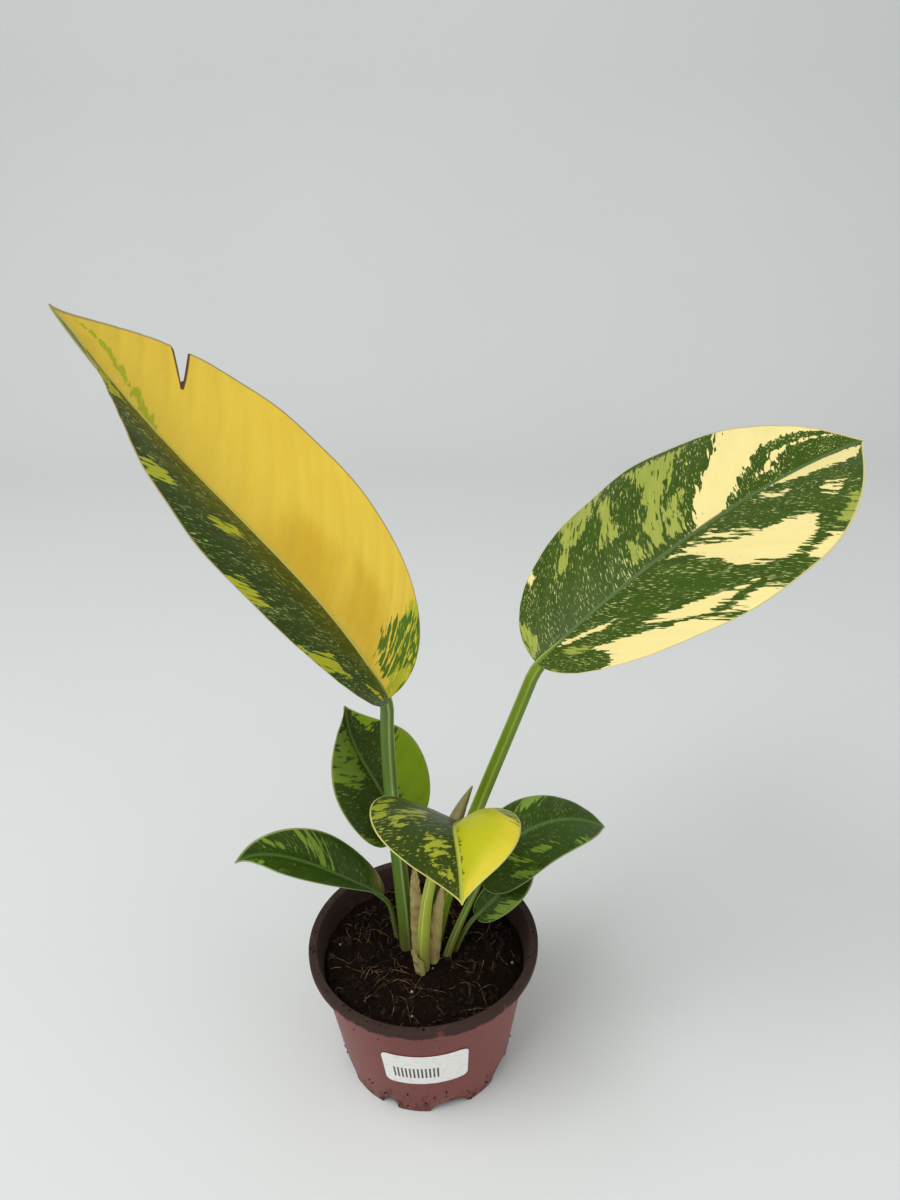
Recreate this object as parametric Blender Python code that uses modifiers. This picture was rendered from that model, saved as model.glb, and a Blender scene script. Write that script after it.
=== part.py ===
"""A variegated philodendron in a small nursery pot.

Metres, +Z up. The origin is the centre of the pot's base, +X is to the right and +Y is away from
the viewer, so the front leaf points along -Y. Design values are in millimetres and degrees.
"""

import math

import bmesh
import bpy
import numpy as np

MM = 0.001
NAME = "potted_philodendron"

# Pot: a thin thermoformed 4 inch nursery pot.
POT_HEIGHT = 70.0
RIM_RADIUS = 54.0
MOUTH_RADIUS = 50.2
SHOULDER_RADIUS = 50.0
BASE_RADIUS = 40.0
LIP_HEIGHT = 4.0
SHOULDER_HEIGHT = 5.0
WALL = 1.3
LIP_WALL = 1.2
SKIRT_WALL = 1.6
PAD_FLOOR = 1.6
FLOOR_RISE = 5.5
PAD_RADIUS = 14.0
EDGE_ROUND = 0.7
TURN_STEPS = 48
NOTCHES = ((-25, 12), (16, 26), (62, 22), (106, 22), (150, 22), (194, 22), (239, 24), (290, 26))
NOTCH_HEIGHT = 5.0
CUTTER_DEPTH = 10.0
DRAIN_HOLES = 6
DRAIN_RADIUS = 3.0
DRAIN_CIRCLE = 27.0

# Growing medium and the buried crown that the leaf stalks rise from.
GAP = 0.3
SOIL_EDGE = 57.5
SOIL_MIDDLE = 60.0
CROWN_TOP = 56.0
CROWN_BOTTOM = 34.0
CROWN_RADII = (18.0, 15.0)
SOCKET_CLEARANCE = 0.6
SOIL_CLEARANCE = 0.5
STALK_FOOT = CROWN_TOP + 0.9

# Label: a blank sticker on the front of the wall.
LABEL_SIZE = (39.0, 22.0)
LABEL_TURN = 1.0
LABEL_MIDDLE = 36.0
LABEL_TILT = 2.0
LABEL_CORNER = 3.0
LABEL_THICKNESS = 0.35

BLADE_THICKNESS = 0.8
BLADE_ROWS = 14
BLADE_COLUMNS = 4
LEAST_HALF_WIDTH = 0.8
SHEATH_THICKNESS = 0.7
STALK_POINTS = 11

# Each leaf: the four control points of its midrib, which way its face looks at the base and at the
# tip (azimuth from the viewer towards +X, elevation), and for its right and left half the width, the
# angle it leaves the midrib at, the angle it has at the margin, and how far its lobe reaches back.
LEAVES = {
    "left_tall": {
        "rib": ((-10, -1, 203), (-38, 5, 263), (-88, 26, 286), (-123, 17, 358)),
        "face": ((33, 26), (59, 39)), "tip": 2.8, "skew": 0.8,
        "right": (50, 11, -2, 0.0), "left": (49, 56, 24, 0.0),
    },
    "right_tall": {
        "rib": ((50, -2, 219), (89, 13, 252), (143, 42, 279), (193, 58, 290)),
        "face": ((8, 74), (8, 69)), "tip": 2.5, "skew": 1.0,
        "right": (53, 27, 6, 0.0), "left": (53, 8, -26, 0.0),
    },
    "back": {
        "rib": ((-12, 19, 117), (-14, 18, 146), (-32, 19, 159), (-32, 27, 182)),
        "face": ((8, 20), (25, 19)), "tip": 2.3, "skew": 1.0,
        "right": (25, 15, 0, 0.0), "left": (25, 68, 9, 0.1),
    },
    "front": {
        "rib": ((18, -4, 141), (13, -29, 160), (18, -35, 161), (18, -62, 150)),
        "face": ((4, 108), (11, 59)), "tip": 3.1, "skew": 1.15,
        "right": (36, 27, 14, 0.0), "left": (28, 44, -18, 0.0),
    },
    "low_left": {
        "rib": ((-18, 4, 92), (-40, 1, 109), (-68, 2, 130), (-81, -8, 124)),
        "face": ((-20, 94), (-18, 42)), "tip": 2.8, "skew": 1.0,
        "right": (15, 45, 14, 0.0), "left": (14, 35, 38, 0.0),
    },
    "low_right": {
        "rib": ((27, 6, 99), (42, 10, 126), (65, 20, 129), (87, 23, 114)),
        "face": ((22, 66), (20, 84)), "tip": 2.2, "skew": 1.0,
        "right": (22, 15, 7, 0.1), "left": (19, 4, -24, 0.0),
    },
    "low_small": {
        "rib": ((25, 1, 81), (33, 0, 92), (43, 6, 98), (53, 14, 99)),
        "face": ((10, 50), (20, 60)), "tip": 2.2, "skew": 1.0,
        "right": (9, 15, 10, 0.05), "left": (7, 15, 10, 0.0),
    },
}

# Each stalk: the four control points of its middle line, and its radius at the foot and at the top.
STALKS = {
    "left_tall": (((-8, 3), (-8, 3, 100), (-14, 1, 160), (-11, 0, 199)), 3.7, 2.7),
    "right_tall": (((4, 1), (10, 3, 105), (30, 6, 150), (49, -2, 215)), 3.6, 2.6),
    "back": (((-6, 11), (-6, 13, 80), (-11, 20, 95), (-12, 20, 113)), 2.2, 1.6),
    "front": (((0, -10), (0, -10, 90), (3, -9, 120), (16, -4, 137)), 3.0, 1.8),
    "low_left": (((-12, 8), (-15, 9, 70), (-14, 9, 82), (-18, 5, 89)), 1.3, 1.1),
    "low_right": (((10, -4), (11, -4, 66), (20, 1, 84), (26, 5, 96)), 2.0, 1.5),
    "low_small": (((14, 1), (15, 0, 62), (19, 1, 72), (23, 1, 78)), 1.4, 1.1),
}

# New leaf still rolled in its sheath: middle line, then the radius from foot to tip.
SPEAR_LINE = ((1, 8), (2, 11, 90), (13, 11, 125), (24, 8, 151))
SPEAR_RADII = (2.6, 2.8, 3.2, 3.6, 3.9, 4.1, 4.1, 3.7, 3.0, 1.9, 0.4)

# Papery sheaths left by older leaves: middle line, azimuth faced, half-width, how far it cups.
SHEATHS = {
    "left": (((-3, -4, 57), (-3, -3, 80), (-3, -2, 100), (-3, -1, 118)), -20, 4.0, 50),
    "front": (((-3, -13, 57), (-3, -13, 63), (-4, -13, 68), (-5, -13, 75)), -50, 4.5, 57),
    "right": (((5, -8, 57), (6, -8, 80), (8, -7, 98), (11, -7, 112)), 20, 3.6, 50),
}


def material(name, colour, roughness, metallic=0.0):
    """A Principled material from an sRGB colour given as a hex string."""
    made = bpy.data.materials.new(name)
    made.use_nodes = True
    shader = made.node_tree.nodes["Principled BSDF"]
    parts = [int(colour[i:i + 2], 16) / 255 for i in (0, 2, 4)]
    linear = [c / 12.92 if c <= 0.04045 else ((c + 0.055) / 1.055) ** 2.4 for c in parts]
    shader.inputs["Base Color"].default_value = (*linear, 1.0)
    shader.inputs["Roughness"].default_value = roughness
    shader.inputs["Metallic"].default_value = metallic
    made.diffuse_color = (*linear, 1.0)
    return made


def collection(name):
    """A new collection linked to the scene."""
    made = bpy.data.collections.new(name)
    bpy.context.scene.collection.children.link(made)
    return made


def mesh_object(name, bm, home, finish=None):
    """Turn a bmesh into an object in the given collection, shaded smooth with sharp edges kept."""
    mesh = bpy.data.meshes.new(name)
    bm.to_mesh(mesh)
    bm.free()
    mesh.shade_smooth()
    mesh.set_sharp_from_angle(angle=math.radians(40))
    made = bpy.data.objects.new(name, mesh)
    home.objects.link(made)
    if finish:
        mesh.materials.append(finish)
    return made


def direction(azimuth, elevation):
    """Unit vector: azimuth 0 looks at the viewer (-Y) and 90 along +X."""
    az = math.radians(azimuth)
    el = math.radians(elevation)
    return np.array((math.sin(az) * math.cos(el), -math.cos(az) * math.cos(el), math.sin(el)))


def unit(vectors):
    return vectors / np.linalg.norm(vectors, axis=-1, keepdims=True)


def bezier(points, t):
    """Points on the cubic Bezier curve of four control points."""
    a, b, c, d = (np.array(p, float) for p in points)
    t = np.asarray(t, float)[:, None]
    return (1 - t) ** 3 * a + 3 * (1 - t) ** 2 * t * b + 3 * (1 - t) * t ** 2 * c + t ** 3 * d


def rib_frame(points, face_base, face_tip, samples=121):
    """Arc length, position, tangent, normal and sideways vector along a midrib."""
    line = bezier(points, np.linspace(0, 1, samples))
    steps = np.linalg.norm(np.diff(line, axis=0), axis=1)
    along = np.concatenate(((0.0,), np.cumsum(steps)))
    tangent = unit(np.gradient(line, axis=0))
    share = (along / along[-1])[:, None]
    normal = direction(*face_base) * (1 - share) + direction(*face_tip) * share
    normal = unit(normal - (normal * tangent).sum(axis=1, keepdims=True) * tangent)
    return along, line, tangent, normal, np.cross(tangent, normal)


def frame_at(frame, y):
    """The rib's frame at distance y, carried straight on past either end."""
    along = frame[0]
    inside = np.clip(y, 0, along[-1])

    def read(values):
        return np.stack([np.interp(inside, along, values[:, k]) for k in range(3)], axis=-1)

    place, tangent, normal, sideways = (read(values) for values in frame[1:])
    tangent = unit(tangent)
    return place + tangent * (y - inside)[:, None], unit(normal), unit(sideways)


def arched(place, normal, sideways, side, x, width, lift, edge):
    """Go x sideways on an arc that leaves at the angle lift and reaches the angle edge at width."""
    lift = np.radians(lift)
    bend = np.radians(edge) - lift
    bend = np.where(np.abs(bend) < 1e-4, 1e-4, bend) / width
    across = (np.sin(lift + bend * x) - np.sin(lift)) / bend
    rise = (np.cos(lift) - np.cos(lift + bend * x)) / bend
    return place + sideways * (side * across)[:, None] + normal * rise[:, None]


def blade_points(leaf, grid):
    """Place a flat grid on the leaf: x runs over both halves and y from the base to the tip.

    The half-width follows sin(pi s), sharpened towards the tip. Each row sweeps forward from the
    midrib to the margin as the side veins do.
    """
    frame = rib_frame(leaf["rib"], *leaf["face"])
    length = frame[0][-1]
    s = (grid[:, 1] + 1) / 2
    u = np.abs(grid[:, 0])
    placed = np.empty((len(grid), 3))
    for name, side in (("right", 1), ("left", -1)):
        width, lift, edge, lobe = leaf[name]
        pick = grid[:, 0] * side >= 0
        turn = s[pick] ** leaf["skew"]
        end = (1 - np.cos(np.pi * turn)) / 2
        start = end ** 1.8
        back = lobe * 6.75 * s[pick] * (1 - s[pick]) ** 4
        half = np.clip(np.sin(np.pi * turn), 0, 1) ** (1 + (leaf["tip"] - 1) * s[pick] ** 2)
        x = (width * half + LEAST_HALF_WIDTH) * u[pick]
        y = (start + (end - back - start) * u[pick] ** 1.3) * length
        place, normal, sideways = frame_at(frame, y)
        placed[pick] = arched(place, normal, sideways, side, x, width, lift, edge)
    return placed


def bent_grid(name, columns, rows, shape, thickness, home, finish):
    """An open grid moved by a formula and given its thickness by a live Solidify."""
    bm = bmesh.new()
    bmesh.ops.create_grid(bm, x_segments=columns, y_segments=rows, size=1)
    grid = np.array([v.co[:2] for v in bm.verts])
    for vert, place in zip(bm.verts, shape(grid) * MM):
        vert.co = place
    made = mesh_object(name, bm, home, finish)
    wall = made.modifiers.new("thickness", "SOLIDIFY")
    wall.thickness = thickness * MM
    wall.offset = 0
    return made


def tube(name, line, radii, home, finish):
    """A round stalk: a POLY curve with a radius at each point."""
    curve = bpy.data.curves.new(name, "CURVE")
    curve.dimensions = "3D"
    curve.bevel_depth = MM
    curve.bevel_resolution = 2
    curve.use_fill_caps = True
    spline = curve.splines.new("POLY")
    spline.points.add(len(line) - 1)
    for point, place, radius in zip(spline.points, line, radii):
        point.co = (*(place * MM), 1)
        point.radius = radius
    made = bpy.data.objects.new(name, curve)
    curve.materials.append(finish)
    home.objects.link(made)
    return made


def stalk_line(controls, count=STALK_POINTS):
    """Even points along a stalk, whose foot stands on the crown."""
    foot = (*controls[0], STALK_FOOT)
    return bezier((foot, *controls[1:]), np.linspace(0, 1, count))


def turned(name, profile, home, finish=None):
    """A profile of (radius, height) pairs swept round the Z axis."""
    bm = bmesh.new()
    verts = [bm.verts.new((r * MM, 0, z * MM)) for r, z in profile]
    for a, b in zip(verts, verts[1:]):
        bm.edges.new((a, b))
    made = mesh_object(name, bm, home, finish)
    screw = made.modifiers.new("turn", "SCREW")
    screw.steps = TURN_STEPS
    screw.render_steps = TURN_STEPS
    screw.use_merge_vertices = True
    screw.merge_threshold = 0.00001
    return made


def cut(target, cutter):
    made = target.modifiers.new(f"cut_{cutter.name}", "BOOLEAN")
    made.operation = "DIFFERENCE"
    made.solver = "EXACT"
    made.object = cutter


def cylinder_cutter(name, home, radius, depth, place, turn=(0, 0, 0), stretch=1.0, sides=24):
    """A hidden cylinder, its axis along Z before the turn and its Y radius times stretch."""
    bm = bmesh.new()
    bmesh.ops.create_cone(
        bm, cap_ends=True, segments=sides, radius1=radius * MM, radius2=radius * MM, depth=depth * MM
    )
    bmesh.ops.scale(bm, vec=(1, stretch, 1), verts=bm.verts)
    made = mesh_object(name, bm, home)
    made.location = [c * MM for c in place]
    made.rotation_euler = turn
    made.hide_render = True
    made.display_type = "WIRE"
    return made


def wall_radius(z):
    """Outer radius of the tapered wall at a height."""
    return BASE_RADIUS + (SHOULDER_RADIUS - BASE_RADIUS) * z / (POT_HEIGHT - LIP_HEIGHT)


def make_pot(parts, cutters):
    under_lip = POT_HEIGHT - LIP_HEIGHT
    shoulder = under_lip - SHOULDER_HEIGHT
    lip_roof = POT_HEIGHT - 1.6
    floor_top = FLOOR_RISE + WALL
    skirt = BASE_RADIUS - SKIRT_WALL
    profile = (
        (0, PAD_FLOOR),
        (PAD_RADIUS - 1.5, PAD_FLOOR),
        (PAD_RADIUS + 1, floor_top),
        (wall_radius(floor_top) - WALL - 1.5, floor_top),
        (wall_radius(floor_top + 1.5) - WALL, floor_top + 1.5),
        (wall_radius(shoulder) - WALL, shoulder),
        (wall_radius(under_lip) - WALL, under_lip),
        (MOUTH_RADIUS - 0.2, POT_HEIGHT - 1.2),
        (MOUTH_RADIUS + 0.3, POT_HEIGHT - 0.3),
        (MOUTH_RADIUS + 1.0, POT_HEIGHT),
        (RIM_RADIUS - EDGE_ROUND, POT_HEIGHT),
        (RIM_RADIUS, POT_HEIGHT - EDGE_ROUND),
        (RIM_RADIUS, under_lip),
        (RIM_RADIUS - LIP_WALL, under_lip),
        (RIM_RADIUS - LIP_WALL, lip_roof),
        (wall_radius(under_lip) + 0.6, lip_roof),
        (wall_radius(under_lip) + 0.2, under_lip),
        (wall_radius(shoulder) + 0.3, shoulder + 0.3),
        (wall_radius(shoulder) - 0.2, shoulder - 0.3),
        (wall_radius(1.0), 1.0),
        (BASE_RADIUS - 0.6, 0),
        (skirt, 0),
        (skirt, FLOOR_RISE),
        (PAD_RADIUS + 2.5, FLOOR_RISE),
        (PAD_RADIUS, 0),
        (0, 0),
    )
    pot = turned("pot", profile, parts, material("red_brown_plastic", "6A3530", 0.5))
    for i, (azimuth, width) in enumerate(NOTCHES):
        half = BASE_RADIUS * math.radians(width) / 2
        radius = (half ** 2 + NOTCH_HEIGHT ** 2) / (2 * NOTCH_HEIGHT)
        place = direction(azimuth, 0) * BASE_RADIUS + np.array((0, 0, NOTCH_HEIGHT - radius))
        turn = (math.radians(90), 0, math.radians(azimuth))
        cut(pot, cylinder_cutter(
            f"notch_cutter_{i}", cutters, radius, CUTTER_DEPTH, place, turn))
    for i in range(DRAIN_HOLES):
        place = direction(i * 360 / DRAIN_HOLES + 30, 0) * DRAIN_CIRCLE + np.array((0, 0, FLOOR_RISE))
        cut(pot, cylinder_cutter(
            f"drain_cutter_{i}", cutters, DRAIN_RADIUS, CUTTER_DEPTH, place, sides=12))
    return pot


def make_soil(parts, cutters):
    floor = FLOOR_RISE + WALL + GAP
    clear = WALL + SOIL_CLEARANCE
    profile = (
        (0, SOIL_MIDDLE),
        (20, SOIL_MIDDLE - 0.4),
        (36, SOIL_MIDDLE - 1.5),
        (wall_radius(SOIL_EDGE) - clear, SOIL_EDGE),
        (wall_radius(floor + 1.5) - clear, floor + 1.5),
        (wall_radius(floor) - clear - 1.5, floor),
        (PAD_RADIUS + 0.6, floor),
        (PAD_RADIUS - 2.0, PAD_FLOOR + 2 * GAP),
        (0, PAD_FLOOR + 2 * GAP),
    )
    soil = turned("potting_soil", profile, parts, material("potting_mix", "1E1714", 0.95))
    width, depth = (r + SOCKET_CLEARANCE for r in CROWN_RADII)
    floor_z = CROWN_BOTTOM - GAP
    place = (0, 0, (floor_z + POT_HEIGHT) / 2)
    cut(soil, cylinder_cutter(
        "crown_socket", cutters, width, POT_HEIGHT - floor_z, place, stretch=depth / width, sides=32))
    return soil


def make_crown(parts):
    """The buried stem: a squat oval block with soft edges."""
    bm = bmesh.new()
    bmesh.ops.create_cone(
        bm, cap_ends=True, segments=32, radius1=0.7 * CROWN_RADII[0] * MM, radius2=CROWN_RADII[0] * MM,
        depth=(CROWN_TOP - CROWN_BOTTOM) * MM)
    bmesh.ops.scale(bm, vec=(1, CROWN_RADII[1] / CROWN_RADII[0], 1), verts=bm.verts)
    bmesh.ops.translate(bm, vec=(0, 0, (CROWN_TOP + CROWN_BOTTOM) / 2 * MM), verts=bm.verts)
    crown = mesh_object("crown", bm, parts, material("stem_base", "6B6A35", 0.7))
    edge = crown.modifiers.new("soft_edge", "BEVEL")
    edge.width = MM
    edge.segments = 2
    return crown


def make_label(parts):
    """A thin sticker wrapped on the tapered wall."""
    half = np.array(LABEL_SIZE) / 2

    def shape(grid):
        flat = grid * half
        corner = (np.abs(flat) > half - LABEL_CORNER / 2).all(axis=1)
        pull = LABEL_CORNER * (1 - math.sqrt(0.5))
        flat[corner] -= np.sign(flat[corner]) * pull
        tilt = math.radians(LABEL_TILT)
        x = flat[:, 0] * math.cos(tilt) - flat[:, 1] * math.sin(tilt)
        z = LABEL_MIDDLE + flat[:, 0] * math.sin(tilt) + flat[:, 1] * math.cos(tilt)
        radius = wall_radius(z) + GAP + LABEL_THICKNESS / 2
        turn = math.radians(LABEL_TURN) + x / wall_radius(LABEL_MIDDLE)
        return np.stack((radius * np.sin(turn), -radius * np.cos(turn), z), axis=1)

    finish = material("white_paper", "E8E8E4", 0.6)
    return bent_grid("blank_label", 12, 6, shape, LABEL_THICKNESS, parts, finish)


def sheath_points(grid, line, azimuth, width, cup):
    """A narrow cupped strip: half-width swells, then closes to a blunt tip."""
    frame = rib_frame(line, (azimuth, 0), (azimuth, 0))
    s = (grid[:, 1] + 1) / 2
    half = width * (0.5 + 0.5 * np.sin(np.pi * s ** 0.7)) * (1 - 0.8 * s ** 6)
    side = np.where(grid[:, 0] < 0, -1, 1)
    place, normal, sideways = frame_at(frame, s * frame[0][-1])
    return arched(place, normal, sideways, side, half * np.abs(grid[:, 0]), width, 0, -cup)


def make_leaves(parts):
    green = material("leaf_green", "2F4A1B", 0.4)
    cream = material("leaf_cream", "E3D27A", 0.4)
    stem_green = material("stalk_green", "5E7D2A", 0.45)
    for name, leaf in LEAVES.items():
        finish = cream if name in ("left_tall", "front") else green
        bent_grid(
            f"blade_{name}", 2 * BLADE_COLUMNS, BLADE_ROWS,
            lambda grid, leaf=leaf: blade_points(leaf, grid), BLADE_THICKNESS, parts, finish)
    for name, (controls, foot, top) in STALKS.items():
        radii = np.linspace(foot, top, STALK_POINTS)
        tube(f"stalk_{name}", stalk_line(controls), radii, parts, stem_green)


def make_sheaths(parts):
    papery = material("papery_sheath", "8A7F48", 0.7)
    tube("new_leaf_spear", stalk_line(SPEAR_LINE), SPEAR_RADII, parts, papery)
    for name, (line, azimuth, width, cup) in SHEATHS.items():
        bent_grid(
            f"sheath_{name}", 4, 8,
            lambda grid, a=(line, azimuth, width, cup): sheath_points(grid, *a),
            SHEATH_THICKNESS, parts, papery)


def main():
    for obj in list(bpy.data.objects):
        bpy.data.objects.remove(obj)
    parts = collection(NAME)
    cutters = collection("cutters")
    make_pot(parts, cutters)
    make_soil(parts, cutters)
    make_crown(parts)
    make_label(parts)
    make_leaves(parts)
    make_sheaths(parts)


main()
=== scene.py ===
# %% [markdown]
# # A variegated philodendron in a small nursery pot
#
# The solid parts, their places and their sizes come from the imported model, which is loaded as a
# fixed frame. This lesson gives each of them its real surface: thin arched leaf blades with cream
# and lime sectors, grooved stalks, a rolled new leaf, papery sheaths, a thermoformed plastic pot,
# a blank paper label and a loose growing mix. Every surface is a formula on a grid of two
# parameters, worked out with numpy as whole arrays, and every finish is a node material.

import math

import bpy
import numpy as np
from mathutils import Matrix, Vector


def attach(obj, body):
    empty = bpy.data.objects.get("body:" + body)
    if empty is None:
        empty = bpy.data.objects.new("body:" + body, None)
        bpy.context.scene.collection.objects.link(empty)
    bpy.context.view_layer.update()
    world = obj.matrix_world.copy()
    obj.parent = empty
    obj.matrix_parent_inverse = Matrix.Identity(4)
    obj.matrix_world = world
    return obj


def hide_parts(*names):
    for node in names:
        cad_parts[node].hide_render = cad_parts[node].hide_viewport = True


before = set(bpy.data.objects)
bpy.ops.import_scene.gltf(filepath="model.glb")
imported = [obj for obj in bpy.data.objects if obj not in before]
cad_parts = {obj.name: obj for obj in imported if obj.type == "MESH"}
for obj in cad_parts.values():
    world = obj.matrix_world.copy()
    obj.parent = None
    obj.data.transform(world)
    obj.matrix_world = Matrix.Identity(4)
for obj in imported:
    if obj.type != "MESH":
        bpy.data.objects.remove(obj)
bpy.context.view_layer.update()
MM = 0.001
print("frame holds", len(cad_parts), "nodes")

# %% [markdown]
# ## Helpers for shape
#
# A surface can be made by hand in edit mode, by modifiers, or by a formula. A plant suits the
# formula: a blade is a flat shape bent over its midrib, and a stalk is a profile carried along a
# path. Two builders are enough for every piece. One closes two grids into a thin sheet, and the
# other closes a stack of rings into a solid skin.


# %% Vectors, curves and noise
def unit(vectors):
    """Each vector divided by its own length."""
    return vectors / np.linalg.norm(vectors, axis=-1, keepdims=True)


def direction(azimuth, elevation):
    """Unit vector at an azimuth from the viewer (-Y) towards +X, raised by the elevation."""
    az, el = math.radians(azimuth), math.radians(elevation)
    return np.array((math.sin(az) * math.cos(el), -math.cos(az) * math.cos(el), math.sin(el)))


def bezier(controls, t):
    """Cubic Bezier curve: the four controls weighted by (1-t)^3, 3(1-t)^2 t, 3(1-t)t^2 and t^3."""
    a, b, c, d = (np.array(p, float) for p in controls)
    t = np.asarray(t, float)[:, None]
    return (1 - t) ** 3 * a + 3 * (1 - t) ** 2 * t * b + 3 * (1 - t) * t**2 * c + t**3 * d


RIPPLE_PEAK = 1.6


def ripple(x, y, seed, waves=14, finest=1.0):
    """Smooth noise, mostly from -1 to 1: summed plane waves of random heading, length and phase."""
    rng = np.random.default_rng(seed)
    heading = rng.uniform(0, 2 * np.pi, waves)
    number = 2 * np.pi / (finest * rng.uniform(1.0, 4.0, waves))
    phase = rng.uniform(0, 2 * np.pi, waves)
    total = np.zeros(np.broadcast(x, y).shape)
    for angle, k, start in zip(heading, number, phase):
        total += np.sin(k * (x * np.cos(angle) + y * np.sin(angle)) + start)
    return total / math.sqrt(waves) / RIPPLE_PEAK


print("a Bezier's middle:", bezier(((0, 0, 0), (0, 0, 1), (1, 0, 1), (1, 0, 0)), [0.5])[0])


# %% Meshes from grids
def object_from(name, points, quads, triangles=None, finish=None):
    """A smooth-shaded object at the origin, its points in millimetres turned to metres."""
    mesh = bpy.data.meshes.new(name)
    loops = [quads.reshape(-1)]
    sizes = [np.full(len(quads.reshape(-1, 4)), 4)]
    if triangles is not None:
        loops.append(triangles.reshape(-1))
        sizes.append(np.full(len(triangles.reshape(-1, 3)), 3))
    loops, sizes = np.concatenate(loops), np.concatenate(sizes)
    mesh.vertices.add(len(points))
    mesh.vertices.foreach_set("co", (points * MM).astype(np.float32).ravel())
    mesh.loops.add(len(loops))
    mesh.loops.foreach_set("vertex_index", loops.astype(np.int32))
    mesh.polygons.add(len(sizes))
    starts = np.concatenate(((0,), np.cumsum(sizes)[:-1]))
    mesh.polygons.foreach_set("loop_start", starts.astype(np.int32))
    mesh.update(calc_edges=True)
    mesh.validate()
    mesh.shade_smooth()
    made = bpy.data.objects.new(name, mesh)
    bpy.context.scene.collection.objects.link(made)
    if finish:
        mesh.materials.append(finish)
    return made


def closed_sheet(name, upper, lower, finish=None):
    """A thin closed sheet: two grids of one size, joined round their four borders."""
    rows, columns = upper.shape[:2]
    index = np.arange(rows * columns).reshape(rows, columns)
    top = np.stack((index[:-1, :-1], index[:-1, 1:], index[1:, 1:], index[1:, :-1]), axis=-1)
    below = top[..., ::-1] + index.size
    ring = np.concatenate((index[0, :-1], index[:-1, -1], index[-1, :0:-1], index[:0:-1, 0]))
    after = np.roll(ring, -1)
    edge = np.stack((ring, ring + index.size, after + index.size, after), axis=-1)
    quads = np.concatenate((top.reshape(-1, 4), below.reshape(-1, 4), edge))
    points = np.concatenate((upper.reshape(-1, 3), lower.reshape(-1, 3)))
    return object_from(name, points, quads, finish=finish)


def ringed_skin(rings):
    """Points, quads and triangles of a closed skin: rings joined in turn, a fan at either end."""
    count, around = rings.shape[:2]
    index = np.arange(count * around).reshape(count, around)
    beside = np.roll(index, -1, axis=1)
    quads = np.stack((index[:-1], beside[:-1], beside[1:], index[1:]), axis=-1).reshape(-1, 4)
    first, last = index.size, index.size + 1
    foot = np.stack((np.full(around, first), beside[0], index[0]), axis=-1)
    head = np.stack((np.full(around, last), index[-1], beside[-1]), axis=-1)
    middles = np.stack((rings[0].mean(axis=0), rings[-1].mean(axis=0)))
    points = np.concatenate((rings.reshape(-1, 3), middles))
    return points, quads, np.concatenate((foot, head))


def many(name, points, quads, triangles, finish=None):
    """One object of many shapes that share their faces: points has one row of points for each."""
    shift = (np.arange(len(points)) * points.shape[1])[:, None, None]
    return object_from(
        name, points.reshape(-1, 3), (quads[None] + shift).reshape(-1, 4),
        (triangles[None] + shift).reshape(-1, 3), finish)


def store(piece, name, values, kind):
    """Keep one value for each point on the mesh as a named attribute, for the material to read."""
    made = piece.data.attributes.new(name, kind, "POINT")
    field = {"FLOAT": "value", "FLOAT_VECTOR": "vector", "FLOAT_COLOR": "color"}[kind]
    made.data.foreach_set(field, np.ascontiguousarray(values, np.float32).ravel())


# %% [markdown]
# ## Helpers for finish
#
# Colours are written as the sRGB hex values a maker would pick, and turned to linear once.
# A node is added by one small function, which takes its inputs as numbers or as links. Every
# finish ends in the same way, with colours laid over a base and one relief, so that is a function.


# %% Colour and node helpers
def linear(hex_colour):
    """sRGB hex to linear RGBA: c / 12.92 when dark, else ((c + 0.055) / 1.055) to the 2.4."""
    parts = np.array([int(hex_colour[i : i + 2], 16) / 255 for i in (1, 3, 5)])
    low = parts / 12.92
    high = ((parts + 0.055) / 1.055) ** 2.4
    return (*np.where(parts <= 0.04045, low, high).tolist(), 1.0)


def add_node(tree, kind, inputs=None, **settings):
    """Add a node, set its properties, and give each named input a value or a link."""
    node = tree.nodes.new(kind)
    for key, value in settings.items():
        setattr(node, key, value)
    for key, value in (inputs or {}).items():
        if isinstance(value, bpy.types.NodeSocket):
            tree.links.new(value, node.inputs[key])
        else:
            node.inputs[key].default_value = value
    return node


def new_finish(name, **constants):
    """A material with its Principled shader's own sockets set, and its node tree and shader."""
    made = bpy.data.materials.new(name)
    made.use_nodes = True
    shader = made.node_tree.nodes["Principled BSDF"]
    for key, value in constants.items():
        shader.inputs[key.replace("_", " ")].default_value = value
    return made, made.node_tree, shader


def layered(made, tree, shader, base, layers, relief, strength, depth):
    """Lay each (share, colour) over the base colour, then raise the relief by its depth in mm."""
    colour = linear(base) if isinstance(base, str) else base
    for share, layer in layers:
        over = linear(layer) if isinstance(layer, str) else layer
        colour = add_node(
            tree, "ShaderNodeMix", {0: share, 6: colour, 7: over}, data_type="RGBA").outputs[2]
    tree.links.new(colour, shader.inputs["Base Color"])
    bump = add_node(
        tree, "ShaderNodeBump", {"Height": relief, "Strength": strength, "Distance": depth * MM})
    tree.links.new(bump.outputs[0], shader.inputs["Normal"])
    return made


print("dark leaf green is", [round(c, 3) for c in linear("#2F4A1B")[:3]])

# %% [markdown]
# ## How a blade is bent
#
# A leaf blade is flat tissue stretched either side of a stiff midrib. The midrib is a smooth curve
# in space with a direction that its face looks in. Each half leaves the midrib at one angle and
# reaches the margin at another, so a cross-section is an arc. Each row of the grid sweeps forward
# from midrib to margin, as the side veins do, so one value of s is one vein from end to end. The
# same numbers shape the solid blades in the frame, so the two agree.

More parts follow.
